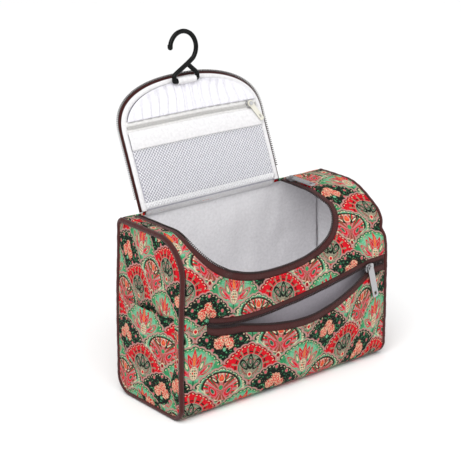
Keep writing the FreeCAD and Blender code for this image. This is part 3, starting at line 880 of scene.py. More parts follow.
for name, side in (("left", -1), ("right", 1)):
    ring = end_ring_cache[side, 4.2]
    rows, cloth_rows = [], []
    for share in (1.0, 0.98, 0.94, 0.88, 0.8, 0.7, 0.6, 0.5, 0.4, 0.3, 0.2, 0.1, 0.03):
        swell = 2.2 * (1 - share ** 4) - 0.6 * smooth((share - 0.94) / 0.06)
        loop, cloth_loop = [], []
        for p in ring:
            y = end_middle[0] + (p.y - end_middle[0]) * share
            z = end_middle[1] + (p.z - end_middle[1]) * share
            low_flat = smooth((z - pocket_top + 12) / 25)
            ripple = 0.7 * noise.noise(Vector((y / 22, z / 26, side * 5.0))) * (1 - share ** 6)
            x = end_x - 0.6 + swell * low_flat * 0.8 + ripple
            loop.append(Vector((drawn_in(side * x, z), y, z)))
            cloth_loop.append(end_cloth(side, y, z))
        rows.append(loop if side > 0 else loop[::-1])
        cloth_rows.append(cloth_loop if side > 0 else cloth_loop[::-1])
    end_piece = woven("end_cloth_" + name, rows, cloth_rows, printed_cloth, 1.8, closed=True)
    fill = bmesh.new()
    fill.from_mesh(end_piece.data)
    bmesh.ops.holes_fill(fill, edges=[e for e in fill.edges if e.is_boundary and e.calc_length() < 0.0005], sides=0)
    layer = fill.loops.layers.uv["cloth"]
    for face in fill.faces:
        if len(face.verts) > 4:
            for corner in face.loops:
                corner[layer].uv = end_cloth(side, corner.vert.co.y / mm, corner.vert.co.z / mm)
            face.smooth = True
    fill.to_mesh(end_piece.data)
    fill.free()
    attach(end_piece, "bag")
    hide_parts("end_panel_" + name)

    # covered cord round the end
    cord_line = [skin(side * wrap_half, v, -piping_radius + 0.2) for v in around]
    rows, cloth_rows = [], []
    for k, p in enumerate(cord_line):
        ahead, behind = cord_line[(k + 1) % len(cord_line)], cord_line[k - 1]
        along = Vector((0, ahead.y - behind.y, ahead.z - behind.z)).normalized()
        outward = Vector((0, along.z, -along.y))
        loop, cloth_loop = [], []
        for j in range(14):
            turn = 2 * math.pi * j / 14
            lump = piping_radius * (1 + 0.05 * noise.noise(p / 9))
            offset = Vector((side * math.cos(turn), 0, 0)) * lump + outward * math.sin(turn) * lump
            loop.append(Vector((drawn_in(side * piping_x, p.z), p.y, p.z)) + offset)
            cloth_loop.append((k * 2.55, j * 1.1))
        rows.append(loop)
        cloth_rows.append(cloth_loop)
    rows.append(rows[0])
    cloth_rows.append([(len(around) * 2.55, c[1]) for c in cloth_rows[0]])
    cord_piece = woven("end_piping_cord_" + name, rows, cloth_rows, piping_satin, closed=True)
    mend(cord_piece, 1e-7)
    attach(cord_piece, "bag")
    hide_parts("end_piping_" + name)

    # patch pocket, bowed out most at its hem
    rows, cloth_rows = [], []
    heights = steps(4.6, 12.0, 5) + steps(14.0, pocket_top, 34)
    for z in heights:
        y0, y1 = end_sides(side, max(z, 5.6), 5.0)
        loop, cloth_loop = [], []
        for share in steps(-1.0, 1.0, 48):
            y = (y0 + y1) / 2 + (y1 - y0) / 2 * share
            lift = pocket_bulge * (1 - abs(share) ** 2.4) * (0.35 + 0.65 * smooth(z / pocket_top)) * smooth(z / 16)
            wave = 0.9 * noise.noise(Vector((y / 17, z / 30, side * 9.0))) * (1 - share ** 6)
            x = end_x - 0.2 + lift + wave * smooth(z / 20)
            loop.append(Vector((drawn_in(side * x, z), y, z - 1.5 * (1 - share * share) * smooth((z - 60) / 38))))
            cloth_loop.append(pocket_cloth(side, y, z))
        rows.append(loop if side > 0 else loop[::-1])
        cloth_rows.append(cloth_loop if side > 0 else cloth_loop[::-1])
    pocket = woven("end_pocket_cloth_" + name, rows, cloth_rows, printed_cloth, 1.0)
    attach(pocket, "bag")
    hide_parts("end_pocket_" + name)
    # its hem: the same cloth turned over into a soft rib along the top
    hem_rows, hem_cloth = [], []
    top_row = rows[-1]
    for p in top_row:
        loop, cloth_loop = [], []
        for j in range(10):
            turn = 2 * math.pi * j / 10
            loop.append(p + Vector((side * (0.8 * math.cos(turn) - 0.5), 0, 2.0 * math.sin(turn) - 1.6)))
            cloth_loop.append(pocket_cloth(side, p.y, p.z - 2.0 + 2.0 * math.sin(turn)))
        hem_rows.append(loop)
        hem_cloth.append(cloth_loop)
    hem = woven("end_pocket_hem_" + name, hem_rows, hem_cloth, printed_cloth, closed=True)
    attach(hem, "bag")

# ---- Main zip on the body ----
# A coil zip with dark maroon tape, sewn under the opening's edge from the left of the hinge round
# the front to its right. The tape lies flat on the cloth's curve and its teeth face inward.

zip_tape_cloth = fibre_material("zip_tape_cloth", (0.058, 0.013, 0.012), 0.5, 0.1, 0.8, 0.6)


def mottled_material(name, grain, dark, light, roughness):
    """A moulded or cast finish with a faint mottle. roughness is a value, or the two it runs between."""
    material = bpy.data.materials.new(name)
    material.use_nodes = True
    tree = material.node_tree
    shader = tree.nodes["Principled BSDF"]
    mottle = tree.nodes.new("ShaderNodeTexNoise")
    mottle.inputs["Scale"].default_value = grain
    tone = tree.nodes.new("ShaderNodeValToRGB")
    for element, colour in zip(tone.color_ramp.elements, (dark, light)):
        element.color = (*colour, 1)
    tree.links.new(mottle.outputs["Fac"], tone.inputs["Fac"])
    tree.links.new(tone.outputs["Color"], shader.inputs["Base Color"])
    if isinstance(roughness, tuple):
        worn = tree.nodes.new("ShaderNodeMapRange")
        worn.inputs["To Min"].default_value, worn.inputs["To Max"].default_value = roughness
        tree.links.new(mottle.outputs["Fac"], worn.inputs["Value"])
        tree.links.new(worn.outputs["Result"], shader.inputs["Roughness"])
    else:
        shader.inputs["Roughness"].default_value = roughness
    return material


nylon_teeth = mottled_material("nylon_teeth", 900.0, (0.012, 0.006, 0.006), (0.035, 0.016, 0.015), 0.32)
tooth_outline = ((-0.95, -0.42), (0.1, -0.34), (0.9, -0.62), (0.9, 0.62), (0.1, 0.34), (-0.95, 0.42))
tooth_levels = ((-0.8, 0.72), (-0.55, 1.0), (0.55, 1.0), (0.8, 0.72))
tooth_pitch = 1.9
thread_rings = ((-0.5, 0.35, -0.22), (-0.3, 0.9, 0.02), (0.0, 1.0, 0.10), (0.3, 0.9, 0.02), (0.5, 0.35, -0.22))


def spaced(line, pitch, start=0.0):
    """Even places along a line of (point, outward) pairs: point, direction of travel, outward."""
    places, want, gone = [], start + pitch / 2, 0.0
    for (p, out_p), (q, out_q) in zip(line, line[1:]):
        length = (q - p).length
        while length > 1e-9 and want <= gone + length:
            part = (want - gone) / length
            places.append((p.lerp(q, part), (q - p).normalized(), out_p.lerp(out_q, part).normalized()))
            want += pitch
        gone += length
    return places


def rod_faces(first, round_count, ring_count):
    """The faces of a closed rod whose rings of points start at a given number."""
    faces = []
    for ring in range(ring_count - 1):
        for k in range(round_count):
            a, b = first + ring * round_count + k, first + ring * round_count + (k + 1) % round_count
            faces.append((a, b, b + round_count, a + round_count))
    faces.append(tuple(first + k for k in reversed(range(round_count))))
    faces.append(tuple(first + (ring_count - 1) * round_count + k for k in range(round_count)))
    return faces


def teeth_along(name, line, material, inward=1.0, pitch=tooth_pitch, size=1.0):
    """One row of zip teeth; their heads point to the left of travel, or to the right for -1."""
    points, faces = [], []
    for point, along, outward in spaced(line, pitch):
        across = outward.cross(along).normalized() * inward
        first = len(points)
        for level, share in tooth_levels:
            for reach_out, side in tooth_outline:
                offset = across * reach_out * share + along * side * share + outward * level
                points.append(point + offset * size)
        faces += rod_faces(first, len(tooth_outline), len(tooth_levels))
    piece = new_piece(name, points, faces, None, material, smooth_faces=False)
    mend(piece, None)
    return piece


def stitches_along(name, line, material, pitch=2.6, length=1.7, radius=0.24):
    """A row of machine stitches: short rounded threads, each dipping into the cloth at its ends."""
    points, faces = [], []
    for point, along, outward in spaced(line, pitch):
        across = outward.cross(along).normalized()
        first = len(points)
        for share, swell, sink in thread_rings:
            for k in range(6):
                turn = math.pi * k / 3
                points.append(point + along * share * length + outward * (sink + math.sin(turn) * radius * swell)
                              + across * math.cos(turn) * radius * swell)
        faces += rod_faces(first, 6, len(thread_rings))
    return new_piece(name, points, faces, None, material)


def edge_line(inside, out, count=400):
    return [(skin(x, v, out), skin_out(x, v)) for x, v in even_edge(inside, count)]


tape_rows, tape_cloth = [], []
for inside, out in ((-1.2, -1.9), (-0.2, -1.3), (1.0, -0.9), (3.0, -0.75), (5.2, -0.8), (6.9, -1.0)):
    line = edge_line(inside, out, 300)
    tape_rows.append([p for p, outward in line])
    tape_cloth.append([(k * 1.7, inside) for k in range(len(line))])
main_tape = woven("main_zip_ribbon", tape_rows, tape_cloth, zip_tape_cloth, 0.5)
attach(main_tape, "bag")
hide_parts("main_zip_tape")
main_teeth = teeth_along("main_zip_coil", edge_line(7.5, -0.8), nylon_teeth)
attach(main_teeth, "bag")
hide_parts("main_zip_teeth")

dark_thread = fibre_material("dark_thread", (0.10, 0.022, 0.02), 0.5, 0.0, 0.4, 0.4)
opening_stitches = stitches_along("opening_stitches", edge_line(-1.8, 0.05), dark_thread)
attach(opening_stitches, "bag")

# ---- Front pocket zip ----
# The same dark coil zip in a slot across the front. It starts at a blunt stitched end on the
# left and runs into the right end seam; left of its slider the two lips hang apart.


def pocket_line(lip, shift, out, start=zip_left, end=wrap_half - 0.2, count=160):
    """A line along one lip of the pocket zip, shifted up, with the lower one standing forward."""
    places = []
    for x in steps(start, end, count):
        v = lip(x) + shift
        forward = gape(x, v) if lip is lower_lip else 0.0
        places.append((skin(x, v, out + forward), skin_out(x, v)))
    return places


for name, lip, sign, reach_up in (
    ("upper", upper_lip, 1, lip_to_cloth_high),
    ("lower", lower_lip, -1, lip_to_cloth_low),
):
    shifts = ((1.9, -1.0), (3.6, -0.8), (reach_up - 1.2, -0.8), (reach_up, -1.1), (reach_up + 1.4, -1.9))
    rows = [[p for p, outward in pocket_line(lip, sign * shift, out)] for shift, out in shifts]
    cloth_rows = [[(k * 1.4, shift) for k in range(161)] for shift, out in shifts]
    if sign < 0:
        rows, cloth_rows = rows[::-1], cloth_rows[::-1]
    ribbon = woven("pocket_zip_ribbon_" + name, rows, cloth_rows, zip_tape_cloth, 0.5)
    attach(ribbon, "bag")
    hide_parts("pocket_zip_tape_" + name)
    coil = teeth_along("pocket_zip_coil_" + name, pocket_line(lip, sign * 1.15, -0.7), nylon_teeth, -sign)
    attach(coil, "bag")
    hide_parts("pocket_zip_teeth_" + name)
    seam = stitches_along(
        "pocket_stitches_" + name, pocket_line(lip, sign * (reach_up + 1.9), 0.05, zip_left + 1), dark_thread)
    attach(seam, "bag")

# ---- Linings ----
# White nylon lining inside the compartment, sewn in at every seam, and a grey-lilac sheet
# behind the front pocket that shows through its open zip.

white_lining = fibre_material("white_lining", (0.86, 0.85, 0.87), 0.55, 0.1, 0.7, 0.25)
lilac_lining = fibre_material("lilac_lining", (0.47, 0.44, 0.49), 0.55, 0.1, 0.9, 0.45)
lining_half = wrap_half - 0.8
lining_depth = 3.0
lining_thick = 0.4
lining_columns = steps(-lining_half, lining_half, 90)


def rumple(x, v, size=0.8):
    return size * noise.noise(Vector((x / 19, v / 27, 12.3)))


def lining_sheet(name, rows, nodes, material=white_lining):
    cloth_rows = [[(p.x, p.z - p.y) for p in row] for row in rows]
    sheet = woven(name, rows, cloth_rows, material, lining_thick)
    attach(sheet, "bag")
    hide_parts(*nodes)
    under = "base_cloth" if "bottom" in name else "bottom_lining_cloth"
    return sheet


def inner_rows(v_from, v_to, count):
    return [[skin(x, v, -lining_depth - rumple(x, v)) for x in lining_columns] for v in steps(v_from, v_to, count)]


lining_sheet("bottom_lining_cloth", inner_rows(v_base - 0.2, v_round - 2.0, 24)[::-1], ["bottom_lining"])
lining_sheet("back_lining_cloth", inner_rows(v_hinge + 0.5, v_base, 70)[::-1], ["back_lining"])

pocket_gap = 7.4
shelf_z = 100.0
rows = []
for z in steps(5.0, shelf_z, 30):
    rows.append([Vector((x, front_y + pocket_gap + 0.9 + rumple(x, z, 0.5), z)) for x in lining_columns])
for share in steps(0.0, 1.0, 6)[1:]:
    row = []
    for x in lining_columns:
        near, far_point = Vector((x, front_y + pocket_gap + 0.9, shelf_z)), skin(x, 106.0, -lining_depth - 0.6)
        row.append(near.lerp(far_point, smooth(share)))
    rows.append(row)
lining_sheet("front_lining_cloth", rows, ["front_lining"])

rows = []
for share in steps(0.0, 1.0, 36):
    row = []
    for x in lining_columns:
        top = skin(x, upper_lip(x) + lip_to_cloth_high - 0.6, -2.0)
        z = 5.5 + (top.z - 5.5) * share
        forward = smooth((z - top.z + 13) / 13)
        y = (front_y + pocket_gap + rumple(x, z, 1.0)) * (1 - forward) + top.y * forward
        row.append(Vector((x, y, z)))
    rows.append(row)
lining_sheet("front_pocket_lining_cloth", rows, ["front_pocket_lining"], lilac_lining)

upper_low = 105.5
for name, part, area in (
    ("left", (0, edge_count // 2), 0.0034),
    ("right", (edge_count // 2, edge_count), 0.0072),
):
    rows = []
    for share in steps(0.0, 1.0, 18):
        row = []
        for k in range(part[0], part[1] + 1):
            (xi, vi), (xo, vo) = inner_line[k], outer_line[k]
            xo, vo = max(-lining_half, min(lining_half, xo)), max(vo, upper_low)
            x, v = xo + (xi - xo) * share, vo + (vi - vo) * share
            row.append(skin(x, v, -lining_depth + 0.3 * share - rumple(x, v, 0.6) * (1 - share)))
        rows.append(row)
    lining_sheet("upper_lining_cloth_" + name, rows, ["upper_lining_" + name])

for name, side in (("left", -1), ("right", 1)):
    ring = [skin(side * wrap_half, v, -lining_depth - 0.2) for v in around]
    rows = []
    for share in (1.0, 0.94, 0.85, 0.7, 0.5, 0.3, 0.1, 0.0):
        loop = []
        for p in ring:
            y, z = p.y * share, end_middle[1] + (p.z - end_middle[1]) * share
            inner_x = lining_half + 0.2 - rumple(y, z, 1.2) * (1 - share ** 4)
            loop.append(Vector((drawn_in(side * inner_x, z), y, z)))
        rows.append(loop[::-1] if side > 0 else loop)
    rows = [row + [row[0]] for row in rows]
    cloth_rows = [[(p.y, p.z) for p in row] for row in rows]
    sheet = woven("end_lining_cloth_" + name, rows, cloth_rows, white_lining, lining_thick)
    mend(sheet, 1e-6, turn_out=False)
    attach(sheet, "bag")
    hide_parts("end_lining_" + name)

# ---- Lid: printed outer panel and its hinge fold ----
# The same foam-backed cloth, cut to the opening's arch and left attached along the back. It
# leans back. Here it is built flat, without the bend across its middle that it takes when it closes over the
# rounded front.

lid_lean = math.radians(22.0)
hinge_z = top_z
lid_middle = (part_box("lid_zip_teeth_front")[0].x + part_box("lid_zip_teeth_front")[1].x) / 2 / mm
lid_half = (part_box("lid_zip_teeth_front")[1].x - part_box("lid_zip_teeth_front")[0].x) / 2 / mm
lid_top = 119.8
lid_rise, lid_power = 46.0, 2.45
lid_slump = 0.6
bend_start, bend_end = 49.0, 115.0


def lid_point(x, s, t):
    """A point of the lid: s up from the hinge, t in from its outer face."""
    x -= lid_slump * smooth(s / 125)
    s *= 1 - 0.02 * smooth((x - lid_middle) / lid_half) * smooth(s / 60)
    return Vector((x, hinge_y + s * math.sin(lid_lean) - t * math.cos(lid_lean),
                   hinge_z + s * math.cos(lid_lean) + t * math.sin(lid_lean)))


lid_outward = Vector((0, math.sin(lid_lean + math.pi / 2), math.cos(lid_lean + math.pi / 2)))
fold_places = [tuple(lid_point(lid_middle, s, 0) * mm) for s in (bend_start, bend_end)]


def lid_bends(piece):
    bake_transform(piece)


def lid_width(s, inside):
    """Half the lid's width at height s, with the outline moved inward."""
    rise, half = lid_rise - inside * 0.6, lid_half - inside
    start = lid_top - inside - rise
    over = min(max((s - start) / rise, 0.0), 1.0)
    return half * (1 - over ** lid_power) ** (1 / lid_power)


def lid_heights(s_from, inside, count=40):
    """Rows up the lid, closer together where its top rounds over."""
    rise = lid_rise - inside * 0.6
    start = lid_top - inside - rise
    turns = [start + rise * math.sin(math.pi / 2 * k / count) ** (2 / lid_power) for k in range(count)]
    return steps(s_from, start, 30)[:-1] + turns + [lid_top - inside - 0.02]


def lid_arch(name, inside, s_from, t, material, thick, cloth_at, nodes, bulge=0.0, face_out=True):
    rows, cloth_rows = [], []
    for s in lid_heights(s_from, inside):
        half_now = max(lid_width(s, inside), 0.4)
        row, cloth_row = [], []
        for share in steps(-1.0, 1.0, 60):
            x = lid_middle + half_now * share
            soft = bulge * (1 - share ** 4) * smooth((lid_top - s) / 30)
            soft += 0.5 * bulge * noise.noise(Vector((x / 28, s / 28, 4.0)))
            row.append(lid_point(x, s, t - soft))
            cloth_row.append(cloth_at(x, s))
        if face_out:
            row, cloth_row = row[::-1], cloth_row[::-1]
        rows.append(row)
        cloth_rows.append(cloth_row)
    piece = woven(name, rows, cloth_rows, material, thick)
    lid_bends(piece)
    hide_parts(*nodes)
    return piece


def lid_cloth(x, s):
    return -x / scale_half_wide + 0.4, (v_heel - v_hinge + s) / scale_high + 2.0


lid_panel = lid_arch("lid_cloth", 7.4, 0.6, 0.0, printed_cloth, 2.0, lid_cloth,
                     ["lid_panel_rear", "lid_panel_front"], bulge=0.8)

hinge_rows, hinge_cloth = [], []
fold_half = lid_half - 7.4
for share in steps(0.0, 1.0, 14):
    row, cloth_row = [], []
    for k in steps(1.0, -1.0, 60):
        x = lid_middle + fold_half * k
        below, above = skin(x, v_hinge + 6.0, 0.25), lid_point(x, 6.0, -0.3)
        knee = Vector((x, hinge_y + 3.2, hinge_z + 1.2))
        row.append(below * (1 - share) ** 2 + knee * 2 * share * (1 - share) + above * share ** 2)
        cloth_row.append((-x / scale_half_wide + 0.4, (v_heel - v_hinge - 6 + 12 * share) / scale_high + 2.0))
    hinge_rows.append(row)
    hinge_cloth.append(cloth_row)
hinge_fold = woven("lid_hinge_fold", hinge_rows, hinge_cloth, printed_cloth, 0.9)
tuple(lid_point(0, 6.0, 0) * mm)
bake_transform(hinge_fold)

# ---- Lid: zip tape, teeth, lining and white binding ----
# The lid's half of the main zip is sewn round its arch. A white lining covers the inside and a
# white grosgrain binding closes the raw edges over it.

white_binding = fibre_material("white_binding", (0.80, 0.79, 0.80), 0.5, 0.1, 1.1, 0.6)


def arch_line(inside, s_from, t, count=320):
    """A line up the lid's left side, over its top and down its right side."""
    line = []
    rise, half_now = lid_rise - inside * 0.6, lid_half - inside
    start = lid_top - inside - rise
    for s in steps(s_from, start, 60)[:-1]:
        line.append(lid_point(lid_middle - half_now, s, t))
    for turn in steps(math.pi, 0.0, 200):
        c, s = math.cos(turn), math.sin(turn)
        line.append(lid_point(lid_middle + half_now * math.copysign(abs(c) ** (2 / lid_power), c),
                              start + rise * abs(s) ** (2 / lid_power), t))
    for s in steps(start, s_from, 60)[1:]:
        line.append(lid_point(lid_middle + half_now, s, t))
    return line


def arch_ribbon(name, profile, s_from, material, thick, nodes):
    """A ribbon round the arch; profile gives (distance inside the zip line, depth) across it."""
    rows = [arch_line(inside, s_from, t) for inside, t in profile]
    cloth_rows = [[(k * 1.2, inside) for k in range(len(rows[0]))] for inside, t in profile]
    piece = woven(name, rows, cloth_rows, material, thick)
    lid_bends(piece)
    if nodes:
        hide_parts(*nodes)
    return piece


arch_ribbon("lid_zip_ribbon", ((2.0, 1.1), (4.0, 1.0), (6.6, 1.0), (8.4, 1.6), (10.0, 2.3))[::-1], 0.8,
            zip_tape_cloth, 0.45, ["lid_zip_tape_front", "lid_zip_tape_left", "lid_zip_tape_right"])
lid_teeth = teeth_along("lid_zip_coil", [(p, lid_outward) for p in arch_line(1.15, 13.0, 1.1)], nylon_teeth, 1.0)
lid_bends(lid_teeth)
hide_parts("lid_zip_teeth_front", "lid_zip_teeth_left", "lid_zip_teeth_right")

# The lid's lining is white cloth like the rest; its mid lilac-grey colour here is painted shade, the shade that
# falls behind the net.
painted_shade_lining = fibre_material("painted_shade_lining", (0.50, 0.49, 0.55), 0.55, 0.1, 0.7, 0.25)
lid_lining = lid_arch("lid_lining_cloth", 4.8, 1.0, 2.7, painted_shade_lining, 0.35, lambda x, s: (x, s),
                      ["lid_lining_rear", "lid_lining_front"], face_out=False)

arch_ribbon("lid_binding_ribbon",
                      ((4.2, 2.0), (4.3, 2.9), (4.9, 3.45), (6.4, 3.65), (8.2, 3.55), (9.3, 3.1))[::-1],
                      1.0, white_binding, 0.4, ["lid_binding_rear", "lid_binding_front"])
binding_stitches = stitches_along(
    "lid_binding_stitches", [(p, -lid_outward) for p in arch_line(8.3, 3.0, 3.6)], white_binding, 2.8, 1.8, 0.22)
lid_bends(binding_stitches)

# white ribbon over the hinge seam, from the bag's lining to the lid's
hinge_ribbon_rows, hinge_ribbon_cloth = [], []
for share in steps(0.0, 1.0, 16):
    row, cloth_row = [], []
    for k in steps(-1.0, 1.0, 60):
        x = lid_middle + (fold_half - 1.0) * k
        low, high = skin(x, v_hinge + 9.0, -2.7), lid_point(x, 8.0, 3.6)
        bent = Vector((x, hinge_y - 3.6, hinge_z - 0.4))
        row.append(low * (1 - share) ** 2 + bent * 2 * share * (1 - share) + high * share ** 2)
        cloth_row.append((x, 16 * share))
    hinge_ribbon_rows.append(row)
    hinge_ribbon_cloth.append(cloth_row)
hinge_ribbon = woven("lid_hinge_ribbon", hinge_ribbon_rows[::-1], hinge_ribbon_cloth[::-1], white_binding, 0.4)
tuple(lid_point(0, 8.0, 3.6) * mm)
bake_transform(hinge_ribbon)

# ---- Lid: net pocket ----
# A flat pocket of white diamond net, under a white zip with a folded band below it. The net's
# cords cross every few millimetres and it is sewn in along its sides and at the hinge.

inner_left, inner_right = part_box("lid_net")[0].x / mm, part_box("lid_net")[1].x / mm
net_low, net_top, band_top, zip_s = 2.4, 58.0, 73.0, 77.3
net_pitch, cord_half = 3.3, 0.42
net_depth = 4.0
net_nylon = fibre_material("net_nylon", (0.92, 0.92, 0.94), 0.45, 0.1, 0.5, 0.2)


def net_depth_at(x, s):
    over = math.sin(math.pi * min(max((x - inner_left) / (inner_right - inner_left), 0), 1))
    up = math.sin(math.pi * (s - net_low) / (net_top - net_low))
    return net_depth + 2.4 * over * up


points, faces = [], []
for lean in (-1, 1):
    start = inner_left - (net_top - net_low) * (lean > 0)
    for n in range(int((inner_right - inner_left + net_top - net_low) / net_pitch) + 1):
        foot = start + n * net_pitch
        run = []
        for k in range(37):
            s = net_low + (net_top - net_low) * k / 36
            x = foot + lean * 0.999 * (s - net_low) + 0.12 * math.sin(k * 2.4)
            if inner_left <= x <= inner_right:
                run.append((x, s))
        if len(run) < 2:
            continue
        first = len(points)
        for k, (x, s) in enumerate(run):
            depth = net_depth_at(x, s) + 0.12 * lean * (1 if k % 2 else -1)
            for dx, dt in ((-cord_half, 0), (0, -cord_half), (cord_half, 0), (0, cord_half)):
                points.append(lid_point(x + dx, s, depth + dt))
        faces += rod_faces(first, 4, len(run))
net = new_piece("lid_net_cords", points, faces, None, net_nylon)
lid_bends(net)
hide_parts("lid_net")

white_zip_cloth = fibre_material("white_zip_cloth", (0.78, 0.77, 0.76), 0.5, 0.1, 0.8, 0.5)


def across_lid(name, s_profile, material, thick, nodes, wave=0.0):
    """A band straight across the lid; s_profile gives (height, depth) up it."""
    rows, cloth_rows = [], []
    for s, t in s_profile:
        row = []
        for x in steps(inner_left, inner_right, 110):
            soft = wave * noise.noise(Vector((x / 14, s / 30, 2.0)))
            row.append(lid_point(x, s + soft * 0.4, t + soft))
        rows.append(row)
        cloth_rows.append([(x, s) for x in steps(inner_left, inner_right, 110)])
    piece = woven(name, rows, cloth_rows, material, thick)
    lid_bends(piece)
    if nodes:
        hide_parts(*nodes)
    return piece


band = across_lid("lid_net_band_cloth",
                  ((net_top - 1.4, 4.0), (net_top - 1.2, 4.7), (net_top, 5.0), (65.0, 5.1), (band_top - 1, 4.8),
                   (band_top + 0.8, 4.3)),
                  white_binding, 0.6, ["lid_net_band"], wave=0.5)
across_lid("lid_pocket_ribbon_lower", ((band_top - 0.6, 3.6), (74.5, 3.7), (76.2, 3.7)), white_zip_cloth, 0.4,
           ["lid_pocket_zip_tape_lower"])
across_lid("lid_pocket_ribbon_upper", ((78.4, 3.7), (80.5, 3.7), (83.5, 4.0)), white_zip_cloth, 0.4,
           ["lid_pocket_zip_tape_upper"])
white_nylon = mottled_material("white_nylon", 700.0, (0.55, 0.54, 0.52), (0.78, 0.77, 0.74), 0.35)
inner_teeth = []
for s, inward in ((zip_s - 0.62, 1.0), (zip_s + 0.62, -1.0)):
    stagger, row_name = (0.0, "lower") if inward > 0 else (0.5, "upper")
    line = [(lid_point(x + stagger, s, 4.2), -lid_outward) for x in steps(inner_left, inner_right - 1, 120)]
    inner_teeth.append(teeth_along("lid_pocket_coil_" + row_name, line, white_nylon, inward, 1.5, 0.66))
for piece in inner_teeth:
    lid_bends(piece)
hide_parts("lid_pocket_zip_teeth")

# ---- Lid: gathered cloth ----
# Thin white cloth gathered along both long edges fills the top of the lid's inside.

gather_low, gather_inside = 82.6, 8.8
gather_rows, gather_cloth = [], []
for s in [gather_low] + [s for s in lid_heights(gather_low, gather_inside, 30) if s > gather_low + 0.5]:
    half_now = max(lid_width(s, gather_inside), 1.0)
    row, cloth_row = [], []
    for share in steps(-1.0, 1.0, 200):
        x = lid_middle + half_now * share
        up = (s - gather_low) / (lid_top - gather_inside - gather_low)
        free = math.sin(math.pi * min(max(up, 0.0), 1.0)) ** 0.6
        drift = 3.0 * noise.noise(Vector((x / 30, s / 22, 8.8)))
        fold = math.sin((x + drift) * 0.62) + 0.6 * math.sin((x + drift * 1.7) * 1.31 + 1.0)
        lift = 1.2 + 0.9 * free + fold * (0.42 + 0.38 * free) * (1 - share ** 8)
        row.append(lid_point(x, s, 3.6 + lift))
        cloth_row.append((x * 1.35, s))
    gather_rows.append(row)
    gather_cloth.append(cloth_row)
gather_material = fibre_material("gathered_nylon", (0.80, 0.79, 0.84), 0.4, 0.2, 0.5, 0.2)
gathered = woven("lid_gathered_nylon", gather_rows, gather_cloth, gather_material, 0.25)
lid_bends(gathered)
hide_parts("lid_gathered_cloth")

# ---- Hook and its sleeve ----
# A glossy black moulded hook: a round loop, a straight shank down to the left foot and a short
# branch to the right one. Its foot bar turns in a sleeve of white ribbon sewn to the lid.

black_gloss = mottled_material("black_gloss", 120.0, (0.0015, 0.002, 0.0018), (0.004, 0.0045, 0.0042), (0.16, 0.34))
gloss_shader = black_gloss.node_tree.nodes["Principled BSDF"]
gloss_shader.inputs["Specular IOR Level"].default_value = 0.12
gloss_shader.inputs["Coat Weight"].default_value = 0.06
gloss_shader.inputs["Coat Roughness"].default_value = 0.08

rod_radius = 2.25
hook_back = math.radians(7.0)
bar_middle_s, bar_depth = 111.0, 7.0
pivot = Vector((0, hinge_y + bar_middle_s * math.sin(lid_lean) - bar_depth * math.cos(lid_lean),
                hinge_z + bar_middle_s * math.cos(lid_lean) + bar_depth * math.sin(lid_lean)))
loop_middle, loop_radius = (-20.5, 30.5), 15.2
loop_tip = 174
left_foot, right_foot = -34.0, -7.0


def hook_point(x, h):
    return pivot + Vector((x, h * math.sin(hook_back), h * math.cos(hook_back)))


def loop_place(degrees):
    turn = math.radians(degrees)
    return loop_middle[0] + loop_radius * math.cos(turn), loop_middle[1] + loop_radius * math.sin(turn)


def rod_curve(name, places):
    """A smooth rod through the given places in the hook's plane."""
    curve = bpy.data.curves.new(name, "CURVE")
    curve.dimensions = "3D"
    curve.bevel_depth = rod_radius * mm
    curve.bevel_resolution = 5
    curve.use_fill_caps = True
    spline = curve.splines.new("NURBS")
    spline.points.add(len(places) - 1)
    for point, (x, h) in zip(spline.points, places):
        point.co = (*(hook_point(x, h) * mm), 1)
    spline.order_u = 3
    spline.use_endpoint_u = True
    spline.resolution_u = 8
    rod = bpy.data.objects.new(name, curve)
    scene.collection.objects.link(rod)
    curve.materials.append(black_gloss)
    return rod


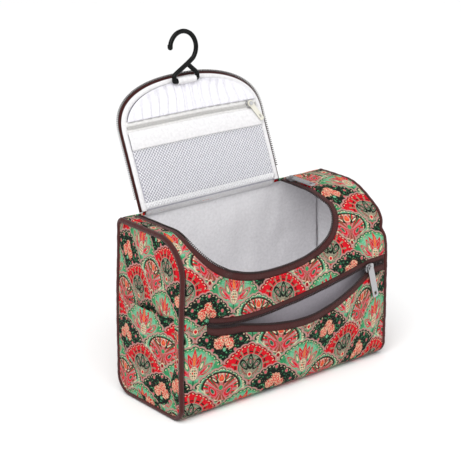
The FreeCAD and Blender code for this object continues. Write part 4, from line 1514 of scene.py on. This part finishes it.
loop_places = [loop_place(d) for d in (loop_tip, 168, 150, 125, 100, 75, 50, 25, 0, -22, -40)]
shank_places = [(-10.6, 18.9), (-16.0, 15.6), (-25.0, 10.6), (-32.6, 6.6)]
foot_places = [(left_foot, 5.0), (left_foot, 3.0), (left_foot, 0.6), (-33.0, 0.0), (-31.0, 0.0), (-20.0, 0.0),
               (-10.0, 0.0), (-7.7, 0.0), (right_foot, 0.8), (right_foot, 2.6), (right_foot, 4.4)]
branch_places = [(-8.2, 6.2), (-12.0, 9.6), (-17.6, 14.8)]
hook_rod = rod_curve("hook_rod", loop_places + shank_places + foot_places + branch_places)
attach(hook_rod, "hook")
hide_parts("hook")
tip_rows = []
tip_x, tip_h = loop_place(loop_tip)
tip_radius, ring_sides = rod_radius * 1.12, 16
for k in range(8):
    lift = tip_radius * math.sin(math.pi / 2 * k / 7.001)
    ring_radius = tip_radius * math.cos(math.pi / 2 * k / 7.001)
    tip_rows.append([
        hook_point(tip_x + ring_radius * math.cos(2 * math.pi * j / ring_sides), tip_h - lift)
        + Vector((0, ring_radius * math.sin(2 * math.pi * j / ring_sides), 0)) for j in range(ring_sides)])
tip_rows.insert(0, [p + Vector((0, 0, 2.4)) for p in tip_rows[0]])
hook_tip = woven("hook_tip", tip_rows, None, black_gloss, closed=True)
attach(hook_tip, "hook")

sleeve_left, sleeve_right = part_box("hook_sleeve")[0].x / mm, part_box("hook_sleeve")[1].x / mm
sleeve_profile = []
for degrees in range(-150, 151, 15):
    turn = math.radians(degrees)
    sleeve_profile.append((bar_middle_s + 3.3 * math.sin(turn), bar_depth + 3.3 * math.cos(turn)))
sleeve_profile = [(104.0, 4.2), (106.5, 4.2)] + sleeve_profile + [(113.5, 4.0), (115.5, 3.7)]
sleeve_columns = steps(sleeve_left, sleeve_right, 16)
rows = [[lid_point(x + lid_slump * smooth(s / 125), s, t) for x in sleeve_columns] for s, t in sleeve_profile]
cloth_rows = [[(x, k) for x in sleeve_columns] for k in range(len(rows))]
sleeve = woven("hook_sleeve_ribbon", rows, cloth_rows, white_binding, 0.6)
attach(sleeve, "lid_front")
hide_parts("hook_sleeve")

# ---- Zip sliders and pulls ----
# Plated zinc sliders ride on the coils. The outer pulls are flat metal tabs with a slot near
# their end; the inner one is a cream moulded drop.

plated_zinc = mottled_material("plated_zinc", 260.0, (0.33, 0.33, 0.34), (0.56, 0.56, 0.57), (0.18, 0.42))
plated_zinc.node_tree.nodes["Principled BSDF"].inputs["Metallic"].default_value = 1.0
cream_plastic = mottled_material("cream_plastic", 90.0, (0.62, 0.60, 0.50), (0.76, 0.74, 0.66), 0.3)

metal_nodes = ("pocket_slider", "pocket_pull", "main_slider", "main_pull", "lid_pocket_slider")
for node, finish in [(node, plated_zinc) for node in metal_nodes] + [("lid_pocket_pull", cream_plastic)]:
    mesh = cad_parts[node].data
    mesh.materials.clear()
    mesh.materials.append(finish)
